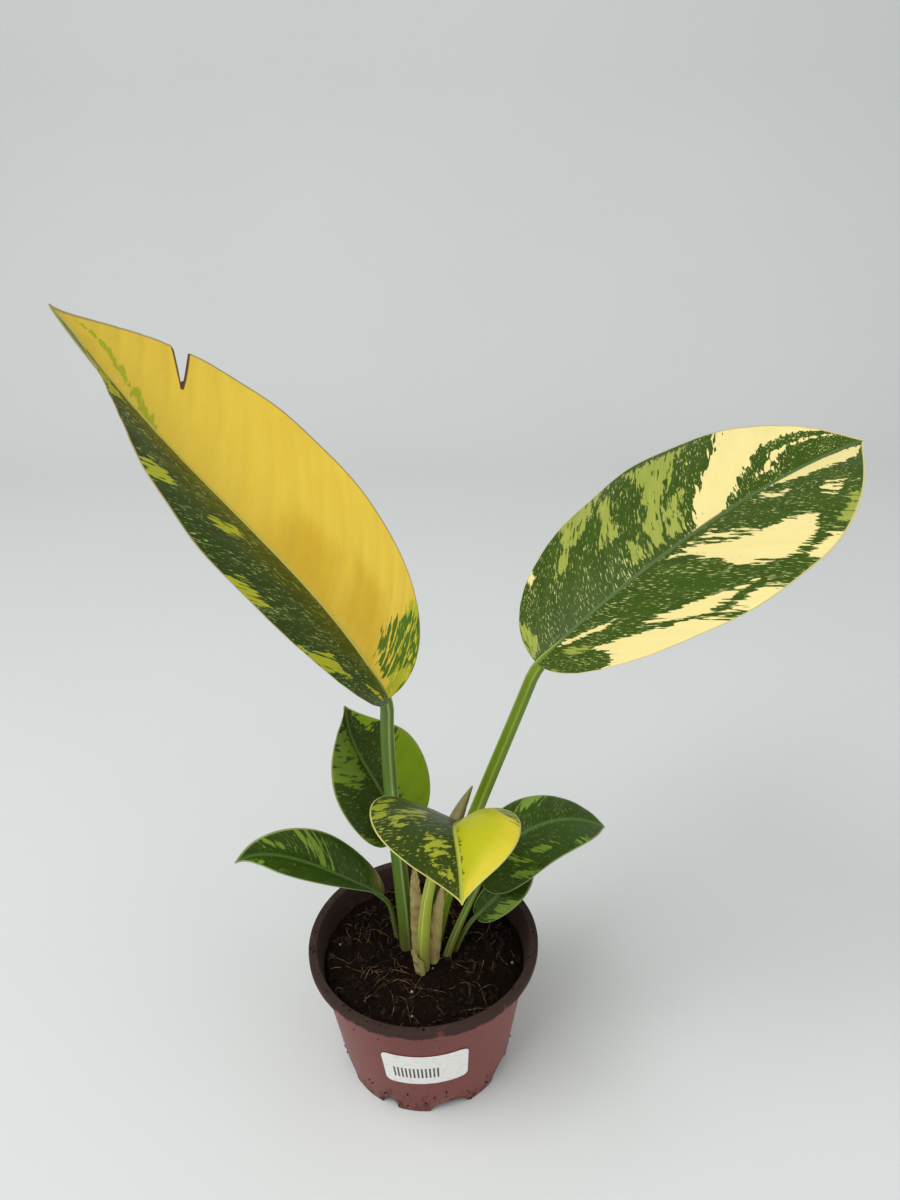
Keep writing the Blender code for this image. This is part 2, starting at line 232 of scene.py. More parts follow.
# %% The leaves' design values, in millimetres and degrees
LEAVES = {
    "left_tall": {
        "rib": ((-10, -1, 203), (-38, 5, 263), (-88, 26, 286), (-123, 17, 358)),
        "face": ((33, 26), (59, 39)), "tip": 2.8, "skew": 0.8,
        "right": (50, 11, -2, 0.0), "left": (49, 56, 24, 0.0),
    },
    "right_tall": {
        "rib": ((50, -2, 219), (89, 13, 252), (143, 42, 279), (193, 58, 290)),
        "face": ((8, 74), (8, 69)), "tip": 2.5, "skew": 1.0,
        "right": (53, 27, 6, 0.0), "left": (53, 8, -26, 0.0),
    },
    "back": {
        "rib": ((-12, 19, 117), (-14, 18, 146), (-32, 19, 159), (-32, 27, 182)),
        "face": ((8, 20), (25, 19)), "tip": 2.3, "skew": 1.0,
        "right": (25, 15, 0, 0.0), "left": (25, 68, 9, 0.1),
    },
    "front": {
        "rib": ((18, -4, 141), (13, -29, 160), (18, -35, 161), (18, -62, 150)),
        "face": ((4, 108), (11, 59)), "tip": 3.1, "skew": 1.15,
        "right": (36, 27, 14, 0.0), "left": (28, 44, -18, 0.0),
    },
    "low_left": {
        "rib": ((-18, 4, 92), (-40, 1, 109), (-68, 2, 130), (-81, -8, 124)),
        "face": ((-20, 94), (-18, 42)), "tip": 2.8, "skew": 1.0,
        "right": (15, 45, 14, 0.0), "left": (14, 35, 38, 0.0),
    },
    "low_right": {
        "rib": ((27, 6, 99), (42, 10, 126), (65, 20, 129), (87, 23, 114)),
        "face": ((22, 66), (20, 84)), "tip": 2.2, "skew": 1.0,
        "right": (22, 15, 7, 0.1), "left": (19, 4, -24, 0.0),
    },
    "low_small": {
        "rib": ((25, 1, 81), (33, 0, 92), (43, 6, 98), (53, 14, 99)),
        "face": ((10, 50), (20, 60)), "tip": 2.2, "skew": 1.0,
        "right": (9, 15, 10, 0.05), "left": (7, 15, 10, 0.0),
    },
}
LEAST_HALF_WIDTH = 0.3
VEIN_SPACING = 8.0
VEIN_START = 1.8
VEIN_SWEEP = 1.3
LOBE_GAIN = 6.75
LEAST_BEND = 1e-4
print("leaves:", ", ".join(LEAVES))


# %% Frames along a midrib
def rib_frame(controls, face_base, face_tip, samples=201):
    """Arc length, place, tangent, normal and sideways vector along a midrib.

    The normal turns evenly from one facing to the other, less its part along the tangent.
    """
    line = bezier(controls, np.linspace(0, 1, samples))
    steps = np.linalg.norm(np.diff(line, axis=0), axis=1)
    along = np.concatenate(((0.0,), np.cumsum(steps)))
    tangent = unit(np.gradient(line, axis=0))
    share = (along / along[-1])[:, None]
    normal = direction(*face_base) * (1 - share) + direction(*face_tip) * share
    normal = unit(normal - (normal * tangent).sum(axis=1, keepdims=True) * tangent)
    return along, line, tangent, normal, np.cross(tangent, normal)


def frame_at(rib, y):
    """The rib's place, normal and sideways vector at distance y, carried straight past its ends."""
    along = rib[0]
    inside = np.clip(y, 0, along[-1])
    place, tangent, normal, sideways = (
        np.stack([np.interp(inside, along, part[:, k]) for k in range(3)], axis=-1)
        for part in rib[1:]
    )
    return place + unit(tangent) * (y - inside)[..., None], unit(normal), unit(sideways)


def arched(place, normal, sideways, side, x, width, lift, edge):
    """Go x sideways on an arc that leaves at the angle lift and reaches the angle edge at width."""
    lift = math.radians(lift)
    bend = math.radians(edge) - lift
    bend = (bend if abs(bend) > LEAST_BEND else LEAST_BEND) / width
    across = (np.sin(lift + bend * x) - math.sin(lift)) / bend
    rise = (math.cos(lift) - np.cos(lift + bend * x)) / bend
    return place + sideways * (side * across)[..., None] + normal * rise[..., None]


def half_width(leaf, width, s):
    """sin(pi s), s skewed towards the base and the sine sharpened towards the tip."""
    turn = s ** leaf["skew"]
    shape = np.clip(np.sin(np.pi * turn), 0, 1) ** (1 + (leaf["tip"] - 1) * s**2)
    return width * shape + LEAST_HALF_WIDTH


def blade_half(leaf, side_name, s, u):
    """Points of one half: u runs from the midrib (0) to the margin (1) and s from base to tip.

    A vein starts at end^1.8 of the length and reaches the margin at end, which is a cosine ease of
    the skewed s. It moves forward as u^1.3. A lobe pulls the margin back near the base.
    """
    side = 1 if side_name == "right" else -1
    width, lift, edge, lobe = leaf[side_name]
    rib = rib_frame(leaf["rib"], *leaf["face"])
    turn = s ** leaf["skew"]
    end = (1 - np.cos(np.pi * turn)) / 2
    start = end**VEIN_START
    back = lobe * LOBE_GAIN * s * (1 - s) ** 4
    x = half_width(leaf, width, s) * u
    y = (start + (end - back - start) * u**VEIN_SWEEP) * rib[0][-1]
    place, normal, sideways = frame_at(rib, y)
    return arched(place, normal, sideways, side, x, width, lift, edge)


rib_length = {name: rib_frame(leaf["rib"], *leaf["face"])[0][-1] for name, leaf in LEAVES.items()}
print("midribs, mm:", {name: round(length) for name, length in rib_length.items()})

# %% [markdown]
# ## Where the cream and lime sectors lie
#
# The leaf's pale sectors come from patches of cells with no green in them, and they spread along
# the side veins as the leaf grows. So a sector is described in vein coordinates: at a few places
# u across the half-blade, the vein s where it starts and the vein where it ends. From those
# stations comes a field in millimetres that is positive inside and negative outside. The material
# roughens the field along the veins and then cuts it sharply, which gives the feathered edges.

# %% Sectors: stations (u, s from, s to) for each half and kind
WHOLE = ((-0.2, -0.2, 1.2), (1.2, -0.2, 1.2))
SECTORS = {
    ("left_tall", "right"): {
        "pale": (WHOLE,),
        "lime": (
            ((-0.1, -0.1, 0.10), (0.3, -0.1, 0.22), (0.6, -0.1, 0.21), (1.1, -0.1, 0.16)),
            ((0.0, 0.665, 0.69), (0.3, 0.725, 0.75), (0.6, 0.775, 0.80), (0.78, 0.83, 0.85)),
        ),
        "green": (
            ((0.10, 0.19, 0.25), (0.3, 0.15, 0.26), (0.5, 0.12, 0.23), (0.7, 0.09, 0.19),
             (0.95, 0.05, 0.14)),
            ((0.35, 0.03, 0.06), (0.6, 0.03, 0.06), (0.8, 0.02, 0.05)),
        ),
        "ochre": (
            ((0.0, 0.38, 0.50), (0.2, 0.38, 0.49), (0.4, 0.38, 0.46)),
            ((0.05, 0.26, 0.37), (0.25, 0.26, 0.36), (0.5, 0.28, 0.35)),
        ),
    },
    ("left_tall", "left"): {
        "lime": (
            ((0.65, 0.20, 0.25), (0.98, 0.19, 0.24)),
            ((0.78, 0.53, 0.56), (0.98, 0.53, 0.56)),
            ((0.40, 0.48, 0.50), (0.65, 0.47, 0.49)),
            ((0.28, 0.11, 0.17), (0.42, 0.10, 0.18)),
            ((0.70, 0.68, 0.73), (0.95, 0.67, 0.74)),
            ((0.85, 0.33, 0.37), (1.0, 0.32, 0.37)),
        ),
    },
    ("right_tall", "left"): {
        "pale": (
            ((0.82, 0.25, 0.27), (1.05, 0.23, 0.25)),
            ((-0.1, 0.60, 0.63), (0.2, 0.625, 0.69), (0.4, 0.64, 0.71), (0.6, 0.655, 0.73),
             (0.8, 0.665, 0.77), (1.1, 0.665, 0.88)),
            ((0.2, 0.725, 0.74), (0.5, 0.755, 0.77), (0.65, 0.795, 0.81), (0.88, 0.855, 0.87)),
        ),
        "lime": (
            ((0.12, 0.10, 0.22), (0.25, 0.08, 0.23), (0.4, 0.06, 0.20), (0.6, 0.05, 0.18),
             (0.8, 0.04, 0.14), (1.1, 0.03, 0.12)),
            ((0.65, 0.38, 0.42), (1.0, 0.36, 0.47)),
            ((0.5, 0.36, 0.39), (0.65, 0.36, 0.39)),
            ((0.42, 0.47, 0.50), (0.82, 0.47, 0.49)),
            ((0.08, 0.55, 0.57), (0.4, 0.55, 0.58), (0.7, 0.55, 0.60), (0.92, 0.52, 0.61)),
            ((0.1, 0.58, 0.60), (0.42, 0.59, 0.61)),
            ((0.08, 0.515, 0.53), (0.27, 0.52, 0.54)),
        ),
        "green": (((0.3, 0.12, 0.14), (0.6, 0.10, 0.12), (0.9, 0.07, 0.09)),),
    },
    ("right_tall", "right"): {
        "pale": (
            ((0.05, 0.30, 0.33), (0.27, 0.38, 0.41)),
            ((0.43, 0.30, 0.32), (0.6, 0.29, 0.36), (0.7, 0.27, 0.38), (0.8, 0.25, 0.41),
             (1.1, 0.17, 0.40)),
            ((0.53, 0.39, 0.41), (0.65, 0.40, 0.46), (0.8, 0.42, 0.50)),
            ((0.88, 0.43, 0.49), (1.1, 0.43, 0.49)),
            ((0.1, 0.565, 0.585), (0.3, 0.56, 0.59), (0.5, 0.55, 0.62), (0.6, 0.545, 0.655),
             (0.75, 0.545, 0.66), (0.84, 0.57, 0.62)),
            ((0.08, 0.69, 0.70), (0.32, 0.70, 0.715)),
            ((0.13, 0.60, 0.61), (0.46, 0.61, 0.62)),
            ((-0.1, 0.71, 0.79), (0.1, 0.735, 0.83), (0.2, 0.75, 0.87), (0.4, 0.79, 0.885),
             (0.6, 0.81, 0.89), (0.84, 0.84, 0.90)),
            ((0.63, 0.72, 0.74), (0.77, 0.72, 0.74)),
            ((0.92, 0.56, 0.62), (1.1, 0.56, 0.62)),
        ),
        "lime": (
            ((0.18, 0.27, 0.31), (0.37, 0.27, 0.31)),
            ((0.92, 0.65, 0.72), (1.1, 0.65, 0.72)),
            ((0.55, 0.10, 0.12), (0.9, 0.08, 0.10)),
        ),
    },
    ("front", "left"): {
        "pale": (WHOLE,),
        "ochre": (((-0.3, 0.1, 0.9), (0.35, 0.15, 0.85), (0.75, 0.3, 0.7)),),
        "green": (
            ((-0.1, 0.6, 0.82), (0.07, 0.62, 0.8)),
            ((0.72, 0.3, 0.5), (0.85, 0.25, 0.55), (1.1, 0.2, 0.6)),
        ),
    },
    ("front", "right"): {
        "lime": (
            ((0.40, 0.52, 0.57), (0.60, 0.54, 0.60), (0.78, 0.60, 0.64)),
            ((0.82, 0.46, 0.56), (0.96, 0.47, 0.56)),
            ((0.2, 0.38, 0.42), (0.75, 0.37, 0.42)),
            ((0.3, 0.24, 0.28), (0.8, 0.22, 0.27)),
            ((0.15, 0.70, 0.73), (0.55, 0.70, 0.74)),
            ((0.30, 0.79, 0.82), (0.6, 0.79, 0.82)),
        ),
    },
    ("back", "left"): {
        "lime": (((0.7, 0.16, 0.22), (1.0, 0.14, 0.42)), ((0.2, 0.62, 0.78), (1.0, 0.60, 0.80))),
    },
    ("back", "right"): {
        "pale": (
            ((0.30, 0.30, 0.55), (0.6, 0.2, 0.60), (1.1, 0.1, 0.68)),
            ((0.62, 0.75, 0.85), (1.1, 0.74, 0.86)),
        ),
    },
    ("low_left", "right"): {
        "lime": (
            ((0.08, 0.55, 0.58), (0.55, 0.56, 0.62), (0.88, 0.58, 0.63)),
            ((0.5, 0.71, 0.74), (0.9, 0.72, 0.75)),
        ),
        "ochre": (((0.32, 0.21, 0.26), (0.6, 0.18, 0.24), (1.1, 0.14, 0.24)),),
    },
    ("low_left", "left"): {"lime": (((0.62, 0.76, 0.80), (0.85, 0.76, 0.80)),)},
    ("low_right", "right"): {
        "lime": (
            ((0.48, 0.53, 0.56), (0.64, 0.52, 0.57)),
            ((0.22, 0.45, 0.47), (0.62, 0.45, 0.47)),
            ((0.68, 0.38, 0.44), (0.97, 0.38, 0.44)),
            ((0.85, 0.64, 0.70), (1.0, 0.63, 0.70)),
        ),
    },
    ("low_right", "left"): {"lime": (((0.68, 0.53, 0.60), (1.1, 0.52, 0.62)),)},
    ("low_small", "right"): {"lime": (((0.5, 0.3, 0.5), (1.1, 0.3, 0.6)),)},
}
ZONE_KINDS = ("pale", "lime", "green", "ochre")
FAR_OUTSIDE = -30.0
print("halves with sectors:", len(SECTORS))


# %% Fields from stations
def sector_field(stations, s, u, length, width):
    """Depth inside one sector in mm: the least distance to its two veins and its two ends."""
    places, begins, ends = (np.array(column) for column in zip(*stations))
    begin, end = np.interp(u, places, begins), np.interp(u, places, ends)
    along = np.minimum(s - begin, end - s) * length
    across = np.minimum(u - places[0], places[-1] - u) * width
    return np.minimum(along, across)


def zone_fields(name, side_name, s, u):
    """Four fields for one half, each the greatest of its sectors' fields, at least -30 mm."""
    half = SECTORS.get((name, side_name), {})
    fields = np.full((*s.shape, len(ZONE_KINDS)), FAR_OUTSIDE)
    for k, kind in enumerate(ZONE_KINDS):
        for stations in half.get(kind, ()):
            field = sector_field(stations, s, u, rib_length[name], LEAVES[name][side_name][0])
            fields[..., k] = np.maximum(fields[..., k], field)
    return fields


# %% [markdown]
# ## From a bent half to a finished blade
#
# The tissue is about a third of a millimetre thick. The midrib stands proud underneath, thick at
# the base and gone at the tip, and shows as a groove above. The side veins pull the surface down a
# little, so the tissue between them rises in low waves. One blade also has an old tear in its
# margin: the rows near it are drawn in towards the midrib, and its edges are marked as dry.

# %% Blade meshes
TISSUE = 0.35
ROW_SPACING = 0.9
COLUMN_SPACING = 1.0
COLUMN_EASE = 1.25
TEAR = {
    "leaf": "left_tall", "side": "right", "s": 0.6475, "half": 0.0125, "depth": 0.37,
    "rag": 0.06, "teeth": 1500,
}
DRY_WIDTH = 0.9
NOT_DRY = -5.0
VEIN_DIP = 0.28
SWELL_HEIGHT = 0.5
SWELL_LENGTH = 14.0
MARGIN_WAVE = 0.5
MARGIN_WAVE_LENGTH = 31
GROOVE_DEPTH = 0.35
GROOVE_WIDTH = 0.8
RIB_SHARE = 0.045


def tear_depth(name, side_name, s):
    """How far the margin is drawn in: a triangle of the given half-opening, with ragged sides."""
    if (name, side_name) != (TEAR["leaf"], TEAR["side"]):
        return np.zeros(s.shape)
    share = np.clip(1 - np.abs(s - TEAR["s"]) / TEAR["half"], 0, 1)
    return TEAR["depth"] * share * (1 + TEAR["rag"] * np.sin(TEAR["teeth"] * s))


def dry_edge(name, side_name, s, u):
    """Depth in mm into the brown edge of the tear, which is 0.9 mm wide: -5 far from it."""
    if (name, side_name) != (TEAR["leaf"], TEAR["side"]):
        return np.full(s.shape, NOT_DRY)
    opening = TEAR["half"] * np.clip(1 - (1 - u) / TEAR["depth"], 0, 1)
    away = (np.abs(s - TEAR["s"]) - opening) * rib_length[name]
    return np.where(u > 1 - TEAR["depth"] - 0.02, DRY_WIDTH - away, NOT_DRY)


def surface_detail(name, s, x, width, seed):
    """Rise of the upper face: a rib groove, side veins pulled down, and a slow uneven swell.

    The groove is a bell 0.8 mm wide. The veins are a sharpened cosine of s, strongest half-way out.
    """
    length = rib_length[name]
    share = np.clip(x / width, 0, 1)
    number = max(6, round(length / VEIN_SPACING))
    vein = np.abs(np.cos(np.pi * number * s)) ** 6
    waves = -VEIN_DIP * vein * np.sin(np.pi * share**0.8)
    swell = SWELL_HEIGHT * ripple(s * length, x, seed, finest=SWELL_LENGTH) * share
    phase = 2 * np.pi * s * length / MARGIN_WAVE_LENGTH + seed
    margin = MARGIN_WAVE * np.sin(phase) * share**6
    groove = -GROOVE_DEPTH * np.exp(-((x / GROOVE_WIDTH) ** 2)) * (1 - s) ** 0.5
    fade = np.clip(np.sin(np.pi * s), 0, 1) ** 0.5 * min(1.0, width / 25)
    return (waves + swell + margin) * fade + groove


def half_grid(name, side_name, s, w, seed):
    """Upper points of one half with its vein coordinates, fields and edge distances."""
    leaf = LEAVES[name]
    width = leaf[side_name][0]
    u = w * (1 - tear_depth(name, side_name, s))
    x = half_width(leaf, width, s) * u
    points = blade_half(leaf, side_name, s, u)
    side = 1 if side_name == "right" else -1
    turn = (1 - np.cos(np.pi * s ** leaf["skew"])) / 2
    forward = (turn**VEIN_START + turn) / 2 * rib_length[name]
    vein = np.stack((forward, side * u * width, np.full(s.shape, float(seed))), axis=-1)
    margin = half_width(leaf, width, s) * (1 - w)
    dry = dry_edge(name, side_name, s, u)
    return points, vein, zone_fields(name, side_name, s, u), x, margin, dry


def make_blade(name, finish, seed):
    """One closed blade: the upper grid raised by the detail, the lower one a thickness below it."""
    leaf = LEAVES[name]
    rows = int(rib_length[name] / ROW_SPACING)
    columns = max(10, int(max(leaf["right"][0], leaf["left"][0]) / COLUMN_SPACING))
    w = np.linspace(0, 1, columns) ** COLUMN_EASE
    s = np.linspace(0, 1, rows)
    left = half_grid(name, "left", *np.meshgrid(s, w[:0:-1], indexing="ij"), seed)
    right = half_grid(name, "right", *np.meshgrid(s, w, indexing="ij"), seed)
    points, vein, zones, x, margin, dry = (
        np.concatenate(pair, axis=1) for pair in zip(left, right))
    across = np.gradient(points, axis=1)
    along = np.gradient(points, axis=0)
    normal = np.cross(across, along)
    size = np.linalg.norm(normal, axis=-1, keepdims=True)
    middle = rib_frame(leaf["rib"], *leaf["face"])[3][0]
    normal = np.where(size > 1e-9, normal / np.maximum(size, 1e-9), middle)
    s_grid = np.broadcast_to(s[:, None], x.shape)
    width = (leaf["right"][0] + leaf["left"][0]) / 2
    detail = surface_detail(name, s_grid, x, width, seed)
    upper = points + normal * detail[..., None]
    rib = RIB_SHARE * width * (1 - s_grid) ** 0.8 + 0.1
    thick = TISSUE + rib * np.exp(-((x / (0.35 + 0.6 * rib)) ** 2))
    thick *= np.clip(margin / 0.8 + 0.35, 0, 1)
    lower = points + normal * (detail - thick)[..., None]
    blade = closed_sheet(f"{name}_leaf", upper, lower, finish)
    edges = np.stack((x, margin, 0 * x, dry), axis=-1).reshape(-1, 4)
    under = edges.copy()
    under[:, 2] = 1.0
    store(blade, "vein", np.tile(vein.reshape(-1, 3), (2, 1)), "FLOAT_VECTOR")
    store(blade, "zones", np.tile(zones.reshape(-1, 4), (2, 1)), "FLOAT_COLOR")
    store(blade, "edges", np.concatenate((edges, under)), "FLOAT_COLOR")
    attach(blade, "root")
    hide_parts(f"blade_{name}")
    return blade


# %% [markdown]
# ## Living leaf, waxy upper face
#
# A leaf reflects a soft, broad highlight from its wax, and its colour lies in the tissue below.
# The green tissue is dark with fine grey-green flecks drawn out along the veins. Lime tissue has a
# thin layer of green cells, and cream tissue has none. Light that enters comes out nearby, so a
# little subsurface scattering keeps the pale sectors from looking like paint. The pattern scales
# are real: flecks half a millimetre by three, and feathering under two millimetres by nine.

# %% The leaf finish
FEATHER_MM = (1.7, 9.0)
FLECK_MM = (0.55, 3.2)
VEINLET_MM = (0.7, 2.4)
CLUSTER_MM = (9.0, 14.0)
TISSUE_MM = (5.0, 26.0)
DRIED_EDGE = "#5A3826"
# For each kind of sector: how deep its field counts, how far its edge wanders, and its blur, in mm.
# A shallow depth lets the feathering break the sector up all over, and not only at its edge.
EDGES = {
    "pale": (5.0, 13.0, 0.2), "lime": (1.4, 15.0, 0.5), "green": (0.6, 15.0, 0.5),
    "ochre": (30.0, 6.0, 6.0),
}


def stretched_noise(tree, vein, size, shift, detail):
    """Noise whose grain is size[0] mm along the rib and size[1] mm along the side veins."""
    mapping = add_node(
        tree, "ShaderNodeMapping",
        {"Vector": vein, "Location": (shift, shift, 0), "Scale": (1 / size[0], 1 / size[1], 1)})
    return add_node(
        tree, "ShaderNodeTexNoise",
        {"Vector": mapping.outputs[0], "Scale": 1.0, "Detail": detail, "Roughness": 0.55})


def leaf_finish(name, tones, fleck_share=0.60):
    """Layers from the deepest up: green, flecks, lime, pale, ochre, green streaks, rib, margin.

    On one leaf lime lies over pale, which its tones say with lime_over.
    """
    made, tree, shader = new_finish(
        name, Roughness=0.42, Subsurface_Weight=0.1, Subsurface_Scale=0.001,
        Subsurface_Radius=(1.0, 1.0, 0.3), Specular_IOR_Level=0.16)
    vein = add_node(tree, "ShaderNodeAttribute", attribute_name="vein").outputs["Vector"]
    zones = add_node(tree, "ShaderNodeAttribute", attribute_name="zones")
    edges = add_node(tree, "ShaderNodeAttribute", attribute_name="edges")
    zone = add_node(tree, "ShaderNodeSeparateColor", {"Color": zones.outputs["Color"]}).outputs
    edge = add_node(tree, "ShaderNodeSeparateColor", {"Color": edges.outputs["Color"]}).outputs
    feathers = stretched_noise(tree, vein, FEATHER_MM, 0.0, 2.5).outputs[0]
    flecks = stretched_noise(tree, vein, FLECK_MM, 7.0, 2.0).outputs[0]
    clusters = stretched_noise(tree, vein, CLUSTER_MM, 3.0, 1.0).outputs[0]
    tissue = stretched_noise(tree, vein, TISSUE_MM, 11.0, 3.0).outputs[0]
    veinlets = stretched_noise(tree, vein, VEINLET_MM, 17.0, 3.0).outputs[0]

    fields = {"pale": zone[0], "lime": zone[1], "green": zone[2], "ochre": zones.outputs["Alpha"]}
    cuts = {}
    for kind, field in fields.items():
        depth, reach, blur = EDGES[kind]
        shallow = add_node(tree, "ShaderNodeMath", {0: field, 1: depth}, operation="MINIMUM")
        rough = add_node(
            tree, "ShaderNodeMath", {0: feathers, 1: -reach, 2: shallow.outputs[0]},
            operation="MULTIPLY_ADD")
        cuts[kind] = add_node(
            tree, "ShaderNodeMapRange",
            {"Value": rough.outputs[0], "From Min": -0.5 * reach - blur,
             "From Max": blur - 0.5 * reach},
            interpolation_type="SMOOTHSTEP").outputs[0]
    fleck_level = add_node(
        tree, "ShaderNodeMath", {0: clusters, 1: 0.22, 2: flecks}, operation="MULTIPLY_ADD")
    ranges = {
        "fleck": (fleck_level.outputs[0], fleck_share + 0.12, fleck_share + 0.17),
        "rib": (edge[0], 1.3, 0.5),
        "margin": (edge[1], 0.75, 0.35),
        "under": (edge[2], 0.2, 2.6),
        "dry": (edges.outputs["Alpha"], -0.1, 0.5),
    }
    for kind, (value, low, high) in ranges.items():
        cuts[kind] = add_node(
            tree, "ShaderNodeMapRange", {"Value": value, "From Min": low, "From Max": high},
            interpolation_type="SMOOTHSTEP").outputs[0]

    pairs = {}
    for kind in ("green", "lime", "pale", "ochre", "streak"):
        first, second = tones[kind]
        pairs[kind] = add_node(
            tree, "ShaderNodeMix", {0: tissue, 6: linear(first), 7: linear(second)},
            data_type="RGBA").outputs[2]
    sectors = ("pale", "lime") if tones.get("lime_over") else ("lime", "pale")
    layers = [
        (cuts["fleck"], tones["fleck"]),
        *((cuts[kind], pairs[kind]) for kind in (*sectors, "ochre")),
        (cuts["green"], pairs["streak"]),
        *((cuts[kind], tones[kind]) for kind in ("rib", "margin", "under")),
        (cuts["dry"], DRIED_EDGE),
    ]
    return layered(made, tree, shader, pairs["green"], layers, veinlets, 0.5, 0.12)


# %% [markdown]
# The leaves opened at different times, so each has its own mix of the same tones: the left tall
# leaf is half golden, the right one is dark with cream sectors, and the low leaves are plain green.

# %% Leaf tones and the seven blades
GREENS = ("#263B04", "#40590A")
TONES = {
    "golden_leaf": {
        "green": ("#223205", "#364A08"), "fleck": "#A0B26A", "lime": ("#93A11C", "#B5AE2C"),
        "pale": ("#D1B035", "#DCC048"), "ochre": ("#C6A026", "#CCAA30"), "rib": "#BDB14F",
        "margin": "#A08E60", "under": "#7F9458", "streak": ("#3B5A0E", "#5C7A1A"),
        "lime_over": True,
    },
    "cream_sector_leaf": {
        "green": GREENS, "fleck": "#B4B872", "lime": ("#7C8C30", "#A5A850"),
        "pale": ("#DCCB82", "#E6D899"), "ochre": ("#A7A246", "#BDB355"), "rib": "#526638",
        "margin": "#C6BC84", "under": "#7F9058", "streak": ("#3E5A14", "#55701C"),
    },
    "yellow_and_green_leaf": {
        "green": ("#28360C", "#3B4B10"), "fleck": "#8F9A38", "lime": ("#7F8C20", "#A6A834"),
        "pale": ("#C6B626", "#CFC140"), "ochre": ("#A9AA12", "#B4B21A"), "rib": "#A9AE40",
        "margin": "#BDB868", "under": "#8A9844", "streak": ("#4A5E14", "#5E741C"),
    },
    "lime_patched_leaf": {
        "green": ("#253608", "#3A4E0E"), "fleck": "#6C8040", "lime": ("#50701A", "#788E2E"),
        "pale": ("#6C860C", "#7F9A18"), "ochre": ("#A98B4A", "#B99B5C"), "rib": "#5E7236",
        "margin": "#8A9456", "under": "#728650", "streak": ("#2C470C", "#3E5A12"),
    },
    "plain_green_leaf": {
        "green": ("#263A08", "#3A530F"), "fleck": "#5F7A34", "lime": ("#5A7A1C", "#86A03A"),
        "pale": ("#8AA23A", "#9AB04A"), "ochre": ("#7F6A3C", "#94794A"), "rib": "#4E6A30",
        "margin": "#86925E", "under": "#64803E", "streak": ("#2C470C", "#3E5A12"),
    },
}
finishes = {name: leaf_finish(name, tones) for name, tones in TONES.items()}
BLADES = {
    "left_tall": ("golden_leaf", 1), "right_tall": ("cream_sector_leaf", 2),
    "back": ("lime_patched_leaf", 3), "front": ("yellow_and_green_leaf", 4),
    "low_left": ("plain_green_leaf", 5), "low_right": ("plain_green_leaf", 6),
    "low_small": ("plain_green_leaf", 7),
}
blades = {name: make_blade(name, finishes[tone], seed) for name, (tone, seed) in BLADES.items()}
print("blade faces:", {name: len(blade.data.polygons) for name, blade in blades.items()})

# %% [markdown]
# ## Leaf stalks
#
# A stalk is nearly round, with a shallow channel between two low ridges on its upper side. It
# narrows towards the blade and runs on under the blade as the midrib. A curve object with a bevel
# profile would do, but carrying the profile in numpy lets the channel fade in and out.

# %% Stalks: middle line, radii at foot and top, azimuth that the channel faces
FOOT_Z = 55.0
STALKS = {
    "left_tall": (((-8, 3), (-8, 3, 100), (-14, 1, 160), (-11, 0, 199)), 3.7, 2.7, 57),
    "right_tall": (((4, 1), (10, 3, 105), (30, 6, 150), (49, -2, 215)), 3.6, 2.6, -45),
    "back": (((-6, 11), (-6, 13, 80), (-11, 20, 95), (-12, 20, 113)), 2.2, 1.6, 10),
    "front": (((0, -10), (0, -10, 90), (3, -9, 120), (16, -4, 137)), 3.0, 1.8, -60),
    "low_left": (((-12, 8), (-15, 9, 70), (-14, 9, 82), (-18, 5, 89)), 1.3, 1.1, -30),
    "low_right": (((10, -4), (11, -4, 66), (20, 1, 84), (26, 5, 96)), 2.0, 1.5, -50),
    "low_small": (((14, 1), (15, 0, 62), (19, 1, 72), (23, 1, 78)), 1.4, 1.1, -50),
}
AROUND = 40
STALK_STEPS = 60
TAPER_STEPS = 8
RIDGE_ANGLE = 0.62


def carried(line, radii, azimuth, shape):
    """Rings of a profile carried along a path.

    Each ring lies square to the path. Angle 0 faces the given azimuth, and shape(angle, t) times
    the radius is the distance from the path.
    """
    tangent = unit(np.gradient(line, axis=0))
    facing = np.broadcast_to(direction(azimuth, 0), tangent.shape)
    facing = unit(facing - (facing * tangent).sum(axis=1, keepdims=True) * tangent)
    beside = np.cross(tangent, facing)
    angle = np.linspace(0, 2 * np.pi, AROUND, endpoint=False)[None, :]
    t = np.linspace(0, 1, len(line))[:, None]
    reach = radii[:, None] * shape(angle, t)
    turned = np.cos(angle)[..., None] * facing[:, None] + np.sin(angle)[..., None] * beside[:, None]
    return line[:, None] + turned * reach[..., None]


def channelled(angle, t):
    """1, less a bell-shaped channel at angle 0, plus two narrow ridges beside it."""
    away = np.abs(np.angle(np.exp(1j * angle)))
    channel = -0.20 * np.exp(-((away / 0.36) ** 2))
    ridges = 0.09 * np.exp(-(((away - RIDGE_ANGLE) / 0.22) ** 2))
    return 1 + (channel + ridges) * np.clip(t * 6, 0, 1)


